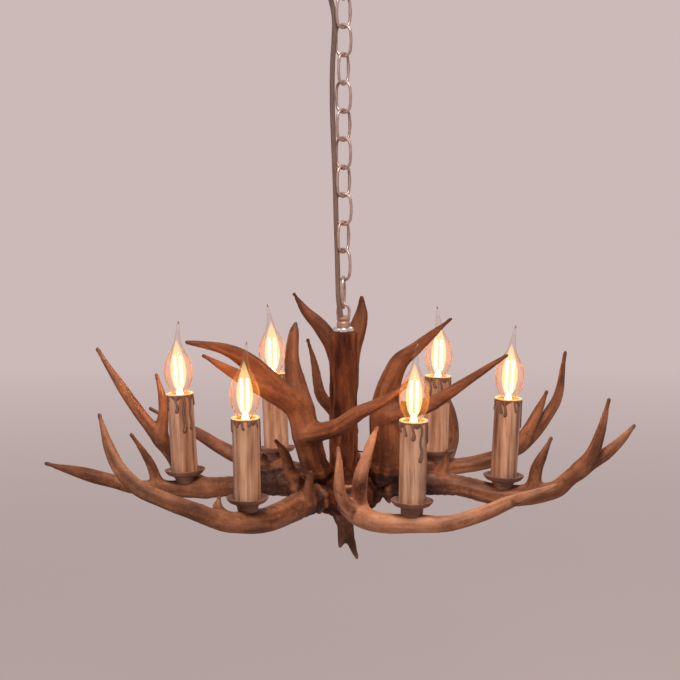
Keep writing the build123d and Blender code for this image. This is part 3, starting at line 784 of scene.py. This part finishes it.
burr_place = 0.0135             # how far along the beam its burr stands
burr_width = 0.0058
pit_size = 0.0024
pit_depth = 0.0016
front_pits = [(0.0055, -0.6967), (0.0118, -0.7007)]     # across and up, on the arm's front


class Limb:
    """A beam or a tine: closely spaced points on a smooth line, each with a radius and a side."""

    def __init__(self, stations, flat):
        points = np.array(stations, float) * 0.001
        points[:, 2] += seats
        padded = np.vstack([2 * points[0] - points[1], points, 2 * points[-1] - points[-2]])
        samples = []
        for index in range(1, len(padded) - 2):
            before, start, end, after = padded[index - 1:index + 3]
            steps = max(2, round(np.linalg.norm(end[:3] - start[:3]) / step_length))
            for step in range(steps):
                t = step / steps
                samples.append(0.5 * (2 * start + (end - before) * t
                                      + (2 * before - 5 * start + 4 * end - after) * t * t
                                      + (3 * start - before - 3 * end + after) * t ** 3))
        samples.append(padded[-2])
        samples = np.array(samples)
        self.points = samples[:, :3]
        self.radii = np.maximum(samples[:, 3], bluntest_tip)
        self.flat = flat
        runs = np.diff(self.points, axis=0)
        self.lengths = np.linalg.norm(runs, axis=1)
        self.along = np.concatenate([[0], np.cumsum(self.lengths)])
        self.ways = runs / self.lengths[:, None]
        side = np.array([1, 0, 0.35])
        sides = []
        for way in self.ways:
            side = side - way * side.dot(way)
            side = side / np.linalg.norm(side)
            sides.append(side)
        self.sides = np.array(sides)

    def beads(self):
        """Places, turns and sizes of balls that touch along the limb, flattened as it is."""
        for index, (way, side) in enumerate(zip(self.ways, self.sides)):
            turn = Matrix((side, np.cross(way, side), way)).transposed().to_4x4()
            for share in (0, 0.5, 1) if index == len(self.ways) - 1 else (0, 0.5):
                middle = self.points[index] + share * way * self.lengths[index]
                radius = self.radii[index] * (1 - share) + self.radii[index + 1] * share
                size = Matrix.Diagonal((radius, radius * self.flat, radius, 1))
                yield Matrix.Translation(middle) @ turn @ size

    def nearest(self, places):
        """Height above this limb's skin, the way out of it, the length along it and the angle."""
        height = np.full(len(places), np.inf)
        out = np.zeros((len(places), 3))
        along = np.zeros(len(places))
        angle = np.zeros(len(places))
        for index in range(len(self.ways)):
            way = self.ways[index]
            side = self.sides[index]
            other = np.cross(way, side)
            offset = places - self.points[index]
            share = np.clip(offset @ way / self.lengths[index], 0, 1)
            foot = self.points[index] + share[:, None] * way * self.lengths[index]
            away = places - foot
            radius = self.radii[index] * (1 - share) + self.radii[index + 1] * share
            a = away @ side
            b = away @ other / self.flat
            c = away @ way
            reach = np.sqrt(a * a + b * b + c * c) + 1e-9
            gap = reach - radius
            closer = gap < height
            height[closer] = gap[closer]
            slope = a[:, None] * side + (b / self.flat)[:, None] * other + c[:, None] * way
            out[closer] = (slope / reach[:, None])[closer]
            along[closer] = (self.along[index] + share * self.lengths[index])[closer]
            angle[closer] = np.arctan2(b, a)[closer]
        return height, out, along, angle


def blended(limbs, places):
    """The skin over several limbs: height above it, the way out, and what each place lies on."""
    found = [limb.nearest(places) for limb in limbs]
    heights = np.array([item[0] for item in found])
    low = heights.min(axis=0)
    shares = np.exp(-(heights - low) / fillet)
    total = shares.sum(axis=0)
    height = low - fillet * np.log(total)
    shares = shares / total
    out = sum(share[:, None] * item[1] for share, item in zip(shares, found))
    return height, out, shares, found


def grooves(along, angle, seed, radius):
    """Long shallow grooves and small pearls on an antler, from about -1 to 1."""
    turn = radius * 0.9
    where = Vector((turn * math.cos(angle), turn * math.sin(angle), along * 0.09 + seed))
    broad = noise.noise(where * 170)
    fine = noise.noise(where * 420)
    where.z = along * 0.5 + seed
    pearl = max(0, noise.noise(where * 300) - 0.25)
    return 0.65 * broad + 0.35 * fine, pearl


def places_of(mesh):
    """Where the mesh's vertices are, in a row each."""
    flat = np.empty(len(mesh.vertices) * 3)
    mesh.vertices.foreach_get("co", flat)
    return flat.reshape(-1, 3)


def skinned(limbs):
    """A mesh with an even skin of small faces that lies on all the limbs."""
    bm = bmesh.new()
    for limb in limbs:
        for bead in limb.beads():
            bmesh.ops.create_icosphere(bm, subdivisions=2, radius=1, matrix=bead)
    holder = bpy.data.objects.new("holder", as_mesh(bm))
    scene.collection.objects.link(holder)
    remesh = holder.modifiers.new("skin", "REMESH")
    remesh.mode = "VOXEL"
    remesh.voxel_size = skin_size
    bpy.context.view_layer.update()
    graph = bpy.context.evaluated_depsgraph_get()
    mesh = bpy.data.meshes.new_from_object(holder.evaluated_get(graph))
    bpy.data.objects.remove(holder)
    places = places_of(mesh)
    for _ in range(settling_rounds):
        height, out = blended(limbs, places)[:2]
        size = (out * out).sum(axis=1, keepdims=True) + 1e-9
        move = out * height[:, None] / size
        length = np.linalg.norm(move, axis=1, keepdims=True)
        move *= np.minimum(1, longest_move / np.maximum(length, 1e-9))
        places -= move
    mesh.vertices.foreach_set("co", places.ravel())
    bm = bmesh.new()
    bm.from_mesh(mesh)
    for _ in range(2):
        bmesh.ops.smooth_vert(bm, verts=bm.verts, factor=0.5, use_axis_x=True, use_axis_y=True,
                              use_axis_z=True)
    bm.to_mesh(mesh)
    bm.free()
    return mesh


def cast_antler(name, flat, stations, seed, root_stain, burr_rise, pits):
    """An antler's mesh, laid on its limbs and grooved along them, with a burr at its root."""
    knobbly = name != "antler_finial"
    limbs = [Limb(line, flat) for line in stations]
    mesh = skinned(limbs)
    places = places_of(mesh)
    out, shares, found = blended(limbs, places)[1:]
    out /= np.linalg.norm(out, axis=1, keepdims=True) + 1e-9
    groove, tips, roots, burrs, rough = np.zeros((5, len(places)))
    for number, (limb, share, item) in enumerate(zip(limbs, shares, found)):
        along, angle = item[2:]
        full = limb.along[-1]
        radius = np.interp(along, limb.along, limb.radii)
        towards_tip = along / full
        tips += share * np.clip(1 - (full - along) / tip_stain, 0, 1) ** 1.3
        if number == 0:
            ring = np.exp(-((along - burr_place) / burr_width) ** 2) * knobbly
            roots += share * np.exp(-(along / root_stain) ** 2) * (1 - 0.85 * ring)
            burrs += share * ring * (0.65 + 0.35 * np.sin(7 * angle + seed))
        for index in np.nonzero(share > 0.02)[0]:
            lines, pearl = grooves(along[index], angle[index], seed + number * 3.7, radius[index])
            groove[index] += share[index] * (lines + 1.3 * pearl * (1 - towards_tip[index]))
    if not knobbly:
        roots[:] = 0.3
    bark_depth = root_bark_depth if knobbly else finial_bark_depth
    for index in np.nonzero(roots > 0.05)[0]:
        rough[index] = (bark_height(places[index], 0.7) - 0.45) * roots[index]
    lift = groove * groove_depth * (1 - 0.75 * tips) + rough * bark_depth + burrs * burr_rise
    places = places + out * lift[:, None]
    for pit in pits:
        reach = np.linalg.norm(places[:, ::2] - np.array(pit), axis=1) / pit_size
        hollow = np.exp(-reach ** 2) * (out[:, 1] < -0.1)
        places -= out * (hollow * pit_depth)[:, None]
        tips = np.maximum(tips, hollow)
    mesh.vertices.foreach_set("co", places.ravel())
    shaded_by(mesh, "groove", groove)
    shaded_by(mesh, "towards_tip", tips)
    shaded_by(mesh, "towards_root", roots)
    return mesh


def antler_finish(name, pale, mid, dark, tip_colour=(0.060, 0.024, 0.013)):
    """Painted resin: pale on the ridges, brown in the grooves, dark at the tips and roots."""
    finish = Finish(name)
    where = finish.place()
    groove = finish.attribute("groove")
    tip = finish.attribute("towards_tip")
    root = finish.attribute("towards_root")
    patch = finish.speckle(where, 24, 3)
    fine = finish.speckle(where, 300, 4, 0.6)
    tone = groove * 0.30 + fine * 0.30 + patch * 0.60 - 0.05
    colour = finish.ramp(tone, (0.14, dark), (0.36, mid), (0.62, pale))
    spots = finish.rise(finish.speckle(where, 75, 2), 0.64, 0.74) * 0.75
    colour = finish.mix(spots, colour, dark)
    bark_tone = finish.ramp(fine * 0.5 + groove * 0.25 + patch * 0.5 - 0.1,
                            (0.26, (0.009, 0.003, 0.002)), (0.46, (0.046, 0.014, 0.007)),
                            (0.72, (0.190, 0.075, 0.036)))
    colour = finish.mix(tip * 0.6, colour, tip_colour)
    colour = finish.mix(finish.rise(root, 0.12, 0.60), colour, bark_tone)
    return finish.surface(Base_Color=colour, Roughness=fine * 0.25 + 0.45,
                          Specular_IOR_Level=0.20, Normal=finish.relief(fine, grain_depth))


front_resin = antler_finish("antler_resin_pale", (0.470, 0.215, 0.115), (0.290, 0.116, 0.060),
                            (0.095, 0.030, 0.014))
arm_resin = antler_finish("antler_resin_brown", (0.285, 0.110, 0.051), (0.125, 0.043, 0.019),
                          (0.040, 0.013, 0.006))
upright_resin = antler_finish("antler_resin_red", (0.225, 0.080, 0.033), (0.112, 0.035, 0.014),
                              (0.036, 0.010, 0.004))
dark_resin = antler_finish("antler_resin_dark", (0.250, 0.105, 0.058), (0.120, 0.046, 0.026),
                           (0.030, 0.011, 0.007), (0.300, 0.170, 0.110))
resins = {"antler_arm_front_right": front_resin, "antler_finial": dark_resin,
          "antler_upright_left": upright_resin, "antler_upright_right": upright_resin,
          "antler_upright_back": upright_resin}
root_stains = {"antler_upright_left": 0.016, "antler_upright_right": 0.016,
               "antler_upright_back": 0.016, "antler_arm_front_left": 0.055,
               "antler_arm_front_right": 0.055}
burr_rises = {"antler_arm_right": 0.0085}
pits = {"antler_arm_front_right": front_pits}
for number, (name, (flat, stations)) in enumerate(antlers.items()):
    mesh = cast_antler(name, flat, stations, 1.7 * number,
                       root_stains.get(name, usual_root_stain),
                       burr_rises.get(name, usual_burr_rise), pits.get(name, ()))
    piece(f"{name}_cast", mesh, resins.get(name, arm_resin), "chandelier", [name])

# ---------------------------------------------------------------------------------------------
# The candle lamps: on each arm a turned cup and a shallow bronze drip pan carry a resin sleeve
# with wax runs round its rim, and the lampholder stands inside it.
candle_names = ("right", "back_right", "back_left", "left", "front_left", "front_right")
sleeve_height = 0.098
sleeve_radius = 0.0157
sleeve_bore = 0.0131
sleeve_rings = 84
wax_runs = 11                   # round each sleeve
wax_lengths = (0.010, 0.014, 0.020, 0.030, 0.045)
wax_thickness = 0.0017
streak_depth = 0.0003
painted_glow_band = 0.0009               # how far down the painted glow of the bulb's light covers the rim fully
pan_finish = rubbed_bronze("pan_bronze", (0.150, 0.062, 0.037), (0.330, 0.165, 0.110), 0.35)


def candle_place(index):
    """The matrix from a candle's own frame, with its foot on the pan's floor, to the lamp's."""
    angle = math.radians(candle_bearings[index])
    lean = math.radians(candle_leans[index])
    outward = Vector((math.cos(angle), math.sin(angle), 0))
    up = outward * math.sin(lean) + Vector((0, 0, math.cos(lean)))
    side = Vector((math.cos(lean), 0, -math.sin(lean) * math.cos(angle)))
    side = (side - up * side.dot(up)).normalized()
    foot = outward * candle_radius * 0.001 + Vector((0, 0, seats))
    turn = Matrix((side, up.cross(side), up)).transposed().to_4x4()
    return Matrix.Translation(foot) @ turn


def six_of(make):
    """One mesh of a piece that is repeated at each of the six candles."""
    whole = bmesh.new()
    for index in range(len(candle_names)):
        mesh = make(index)
        mesh.transform(candle_place(index))
        whole.from_mesh(mesh)
    return as_mesh(whole)


def drips_for(index):
    """Where wax has run down one sleeve: (angle, length, half width) of each run."""
    chance = random.Random(40 + index)
    runs = []
    for run in range(wax_runs):
        angle = 2 * math.pi * (run + chance.uniform(-0.3, 0.3)) / wax_runs
        length = chance.choice(wax_lengths)
        runs.append((angle, length * chance.uniform(0.8, 1.15), chance.uniform(0.0017, 0.0028)))
    return runs


def candle_sleeve(index):
    """A resin candle with wax run over its rim and shallow streaks down its side."""
    profile = [(sleeve_bore, sleeve_height - 0.007), (sleeve_bore, sleeve_height - 0.0008),
               (sleeve_bore + 0.0006, sleeve_height), (sleeve_radius - 0.0006, sleeve_height)]
    for ring in range(sleeve_rings + 1):
        profile.append((sleeve_radius, (sleeve_height - 0.0007) * (1 - ring / sleeve_rings)))
    profile.append((sleeve_bore, 0.0))
    bm = turned(profile, 120)
    runs = drips_for(index)
    wax = []
    grain = []
    rim = []
    for vertex in bm.verts:
        reach = math.hypot(vertex.co.x, vertex.co.y)
        angle = math.atan2(vertex.co.y, vertex.co.x)
        drop = sleeve_height - vertex.co.z
        streak = noise.noise(Vector((math.cos(angle) * 2.6, math.sin(angle) * 2.6,
                                     vertex.co.z * 4 + index * 5)))
        covered = 0
        if reach > sleeve_radius * 0.9:
            skirt = 0.0030 + 0.0050 * abs(math.sin(2.5 * angle + index)) ** 3
            covered = max(0, min(1, (skirt - drop) / 0.0010)) * 0.45
            for run_angle, length, half_width in runs:
                gap = angle - run_angle + 0.07 * math.sin(drop * 260 + 40 * length) + math.pi
                gap = gap % (2 * math.pi) - math.pi
                aside = gap * sleeve_radius / (half_width * (0.50 + 0.62 * (drop / length) ** 4))
                past = (drop - length) / (half_width * 1.3)
                inside = 1 - aside ** 2 - max(0, past + 1) ** 2
                if inside > 0:
                    covered = max(covered, math.sqrt(inside) * (0.7 + 0.3 * drop / length))
            outward = Vector((vertex.co.x, vertex.co.y, 0)).normalized()
            vertex.co += outward * (covered * wax_thickness + streak * streak_depth)
        wax.append(min(1, covered * 1.6))
        grain.append(streak)
        # How much of the bulb's painted glow a place gets: full at the top, fading down the side.
        rim.append(1.0 if drop < painted_glow_band else max(0, 0.5 - drop / 0.020))
    mesh = as_mesh(bm)
    shaded_by(mesh, "wax", wax)
    shaded_by(mesh, "grain", grain)
    shaded_by(mesh, "rim", rim)
    return mesh


def sleeve_finish():
    """Pinkish tan resin with brown streaks and dark wax, the wax with painted shade along its edges
    and a painted highlight on its crests; the bulb's light on the rim is painted on as a warm
    colour and a glow.
    """
    finish = Finish("candle_resin")
    wax = finish.attribute("wax")
    grain = finish.attribute("grain")
    streaks = finish.speckle(finish.place((1, 1, 0.05)), 300, 5, 0.6)
    cloud = finish.speckle(finish.place((1, 1, 0.4)), 60, 3)
    colour = finish.ramp(grain * 0.25 + streaks * 0.60 + cloud * 0.30 - 0.05,
                         (0.16, (0.120, 0.046, 0.024)), (0.32, (0.265, 0.122, 0.070)),
                         (0.54, (0.460, 0.250, 0.155)))
    lines = finish.speckle(finish.place((1, 1, 0.02)), 620, 2)
    colour = finish.mix(finish.rise(lines, 0.60, 0.70) * 0.60, colour, (0.100, 0.038, 0.021))
    # The wax's own dark brown, with painted shade along the edges of each run and a painted
    # highlight on its crest.
    dark_wax_with_painted_light = finish.ramp(wax, (0.45, (0.055, 0.020, 0.012)), (0.80, (0.085, 0.035, 0.022)),
                             (1.0, (0.160, 0.075, 0.048)))
    colour = finish.mix(finish.rise(wax, 0.0, 0.35), colour, dark_wax_with_painted_light)
    # Painted light: the bulb's light on the rim, as a warmer colour and an emission that fades down
    # the side.
    rim = finish.attribute("rim")
    colour = finish.mix(finish.rise(rim, 0.5, 1.0), colour, (0.240, 0.150, 0.080))
    painted_glow = finish.ramp(rim, (0.0, black), (0.5, (0.090, 0.026, 0.006)), (1.0, (0.60, 0.36, 0.13)))
    return finish.surface(Base_Color=colour, Roughness=streaks * 0.2 + 0.24, Emission_Color=painted_glow,
                          Emission_Strength=1.0, Normal=finish.relief(streaks, 0.0004))


def drip_pan(index):
    """A shallow pan with a rolled lip, the same for each candle."""
    return as_mesh(turned(rounded([
        (0.0048, -0.0018), (0.0172, -0.0018), (0.0206, -0.0004), (0.0236, 0.0030), (0.0246, 0.0052),
        (0.0236, 0.0056), (0.0222, 0.0036), (0.0196, 0.0010), (0.0166, 0.0001), (0.0048, 0.0001)],
        0.0007, closed=True), 64))


def candle_cup(index):
    """The cup under a pan: turned, but cut with eight flats under the front right candle."""
    if candle_names[index] == "front_right":
        bm = turned(rounded([(0.0048, -0.0018), (0.0136, -0.0018), (0.0136, -0.0092),
                             (0.0118, -0.0128), (0.0048, -0.0128)], 0.0004, closed=True), 8)
        bmesh.ops.rotate(bm, verts=bm.verts, cent=(0, 0, 0), matrix=Matrix.Rotation(0.3, 3, "Z"))
        return as_mesh(bm)
    return as_mesh(turned(rounded([
        (0.0048, -0.0018), (0.0132, -0.0018), (0.0138, -0.0034), (0.0132, -0.0050),
        (0.0120, -0.0058), (0.0124, -0.0080), (0.0112, -0.0110), (0.0096, -0.0128),
        (0.0048, -0.0128)], 0.0006, closed=True), 48))


def lampholder(index):
    """The lampholder, the same for each candle. Its top, where the bulb's light falls, is painted
    darker to allow for that light.
    """
    mesh = as_mesh(turned(rounded([
        (0.0055, 0.0), (0.008, 0.0), (0.008, 0.012), (0.0120, 0.012), (0.0122, 0.0945),
        (0.0127, 0.0950), (0.0127, 0.0968), (0.0080, 0.0973), (0.0074, 0.0965), (0.0072, 0.067),
        (0.0, 0.067)], 0.0005), 44))
    # The top band, which the bulb lights, is marked so that its finish can paint it darker.
    lit_from = sleeve_height - 0.0035
    shaded_by(mesh, "lit", [float(vertex.co.z > lit_from) for vertex in mesh.vertices])
    return mesh


piece("candle_sleeves_waxed", six_of(candle_sleeve), sleeve_finish(), "chandelier",
      ["candle_sleeves"])
piece("drip_pans_spun", six_of(drip_pan), pan_finish, "chandelier", ["drip_pans"])
piece("candle_cups_turned", six_of(candle_cup), pan_finish, "chandelier",
      ["candle_cups"])
holder_finish = Finish("holder_plastic")
holder_shade = holder_finish.speckle(holder_finish.place(), 200, 3)
holder_colour = holder_finish.mix(holder_shade, (0.74, 0.46, 0.25), (0.62, 0.36, 0.18))
# Painted: a darker top, where the bulb's light falls on the pale plastic.
holder_top_darkened_for_bulb_light = holder_finish.attribute("lit")
holder_colour = holder_finish.mix(holder_top_darkened_for_bulb_light, holder_colour, (0.150, 0.085, 0.035))
holder_finish.surface(Base_Color=holder_colour, Roughness=0.55)
piece("lampholders_moulded", six_of(lampholder), holder_finish.material, "chandelier",
      ["lampholders"])

# ---------------------------------------------------------------------------------------------
# The bulbs: amber glass drawn to a bent flame tip, a glass stem with four glowing filaments and
# the haze of their light, and a nickel-brass screw cap. Each bulb unscrews on its own.
glass_foot = 0.096
glass_outline = [
    (0.0070, 0.0), (0.0078, 0.0015), (0.0105, 0.0050), (0.0140, 0.0105), (0.0165, 0.0175),
    (0.0175, 0.0255), (0.0171, 0.0330), (0.0152, 0.0405), (0.0122, 0.0470), (0.0088, 0.0530),
    (0.0060, 0.0585), (0.0042, 0.0645), (0.0032, 0.0710), (0.0024, 0.0780), (0.0015, 0.0845),
    (0.0004, 0.0888),
]
glass_wall = 0.0007
solid_rows = 14                 # at the tip, where the glass is drawn solid
filament_ring = 0.0048
haze_outline = [
    (0, 0.003), (0.0035, 0.005), (0.0072, 0.013), (0.0094, 0.024), (0.0090, 0.035),
    (0.0070, 0.045), (0.0045, 0.053), (0.0022, 0.061), (0, 0.067),
]
bulb_light_power = 0.60
bulb_light_colour = (1.0, 0.50, 0.19)
bulb_light_radius = 0.016
bulb_light_height = 0.028       # above the glass's foot
tip_turns = (0.4, 2.9, 2.6, 0.2, 0.5, 0.9)      # which way each bulb's tip is drawn, radians
tip_bend = 0.0042


def amber_glass():
    """Thin tinted glass: nearly clear face on, golden towards its edges, with a soft painted glow
    at its foot and a painted highlight up its neck.
    """
    finish = Finish("amber_glass")
    edge = finish.node("ShaderNodeLayerWeight", {}, {"Blend": 0.35}, output="Facing")
    height = finish.attribute("up_the_bulb")
    # Painted light as emission: an orange glow near the foot and a pale highlight up the neck.
    painted_glow = finish.ramp(height, (0.0, (0.90, 0.42, 0.12)), (0.12, (0.30, 0.12, 0.03)),
                       (0.55, (0.26, 0.11, 0.03)), (0.78, (0.50, 0.38, 0.24)),
                       (0.93, (0.30, 0.22, 0.16)), (1.0, (0.02, 0.01, 0.01)))
    solid_tip = finish.rise(height, 0.95, 0.98)
    return finish.surface(Base_Color=(0.20, 0.10, 0.03), Roughness=0.03, IOR=1.5,
                          Alpha=(edge ** 2.2) * 0.85 + 0.06 + solid_tip,
                          Emission_Color=painted_glow, Emission_Strength=0.20)


def bulb_glass(place, twist):
    """The bulb's shell, both walls, with its tip bent aside."""
    tall = glass_outline[-1][1]
    smooth = [tuple(vertex.co)[::2] for vertex in
              smooth_line([(radius, 0, height) for radius, height in glass_outline]).vertices]
    inner = [(max(radius - glass_wall, 0.0), height) for radius, height in smooth[:-solid_rows]]
    outside = turned(smooth + [(0, smooth[-1][1])], 40)
    inside = turned(inner + [(0, inner[-1][1] + 0.0004)], 40)
    bmesh.ops.reverse_faces(inside, faces=inside.faces)
    rises = []
    for shell in (outside, inside):
        for vertex in shell.verts:
            rise = vertex.co.z / tall
            rises.append(rise)
            lean = tip_bend * max(0, (rise - 0.5) / 0.5) ** 1.6
            vertex.co += Vector((lean * math.cos(twist), lean * math.sin(twist), glass_foot))
    mesh = joined(outside, inside)
    shaded_by(mesh, "up_the_bulb", rises)
    mesh.transform(place)
    return mesh


def glowing():
    """Filaments too bright to show a colour of their own."""
    finish = Finish("glowing_filament")
    return finish.surface(Base_Color=(1.0, 0.7, 0.35), Roughness=0.5,
                          Emission_Color=(1.0, 0.60, 0.25), Emission_Strength=13.0)


def bulb_light(name, place):
    """The warm light that a lit bulb casts on what stands near it."""
    light = bpy.data.lights.new(f"{name}_light", "POINT")
    light.energy = bulb_light_power
    light.color = bulb_light_colour
    light.shadow_soft_size = bulb_light_radius
    lamp = bpy.data.objects.new(f"{name}_light", light)
    lamp.location = place @ Vector((0, 0, glass_foot + bulb_light_height))
    lamp.visible_camera = False
    lamp.visible_glossy = False
    lamp.visible_transmission = False
    scene.collection.objects.link(lamp)
    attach(lamp, name)


def haze_round_filaments():
    """The bright haze that surrounds a lit filament, half clear and thinner towards its tip."""
    finish = Finish("filament_haze")
    height = finish.attribute("up_the_haze")
    return finish.surface(Base_Color=black, Roughness=1.0, Alpha=0.50 - (height ** 3.0) * 0.38,
                          Emission_Color=(1.0, 0.69, 0.29), Emission_Strength=1.7)


def haze(place):
    """A flame-shaped shell between the filaments and the glass."""
    bm = turned(haze_outline, 32)
    heights = [vertex.co.z / haze_outline[-1][1] for vertex in bm.verts]
    bmesh.ops.translate(bm, verts=bm.verts, vec=(0, 0, glass_foot))
    mesh = as_mesh(bm)
    shaded_by(mesh, "up_the_haze", heights)
    mesh.transform(place)
    return mesh


def filament(place):
    """A glass stem and four upright filaments round it."""
    stem = [(0, 0.0), (0.0045, 0.0), (0.0030, 0.005), (0.0018, 0.009), (0, 0.009)]
    rod = [(0, 0.010), (0.0013, 0.010), (0.0013, 0.046), (0, 0.046)]
    parts = [turned(rounded(stem, 0.0008), 20)]
    for quarter in range(4):
        turn = Matrix.Rotation(math.radians(45 + 90 * quarter), 4, "Z")
        part = turned(rounded(rod, 0.0006), 12)
        bmesh.ops.translate(part, verts=part.verts, vec=turn @ Vector((filament_ring, 0, 0)))
        parts.append(part)
    mesh = joined(*parts)
    mesh.transform(place @ Matrix.Translation((0, 0, glass_foot)))
    return mesh


amber = amber_glass()
glow_finish = glowing()
haze_finish = haze_round_filaments()
brass = rubbed_bronze("cap_brass", (0.60, 0.47, 0.26), (0.75, 0.62, 0.40), 0.9)
for index, name in enumerate(candle_names):
    place = candle_place(index)
    piece(f"bulb_{name}_blown", bulb_glass(place, tip_turns[index]), amber, f"bulb_{name}",
          [f"bulb_{name}_glass"])
    piece(f"bulb_{name}_filaments", filament(place), glow_finish, f"bulb_{name}",
          [f"bulb_{name}_filament"])
    piece(f"bulb_{name}_haze", haze(place), haze_finish, f"bulb_{name}")
    bulb_light(f"bulb_{name}", place)
    refinish(f"bulb_{name}_cap", brass)
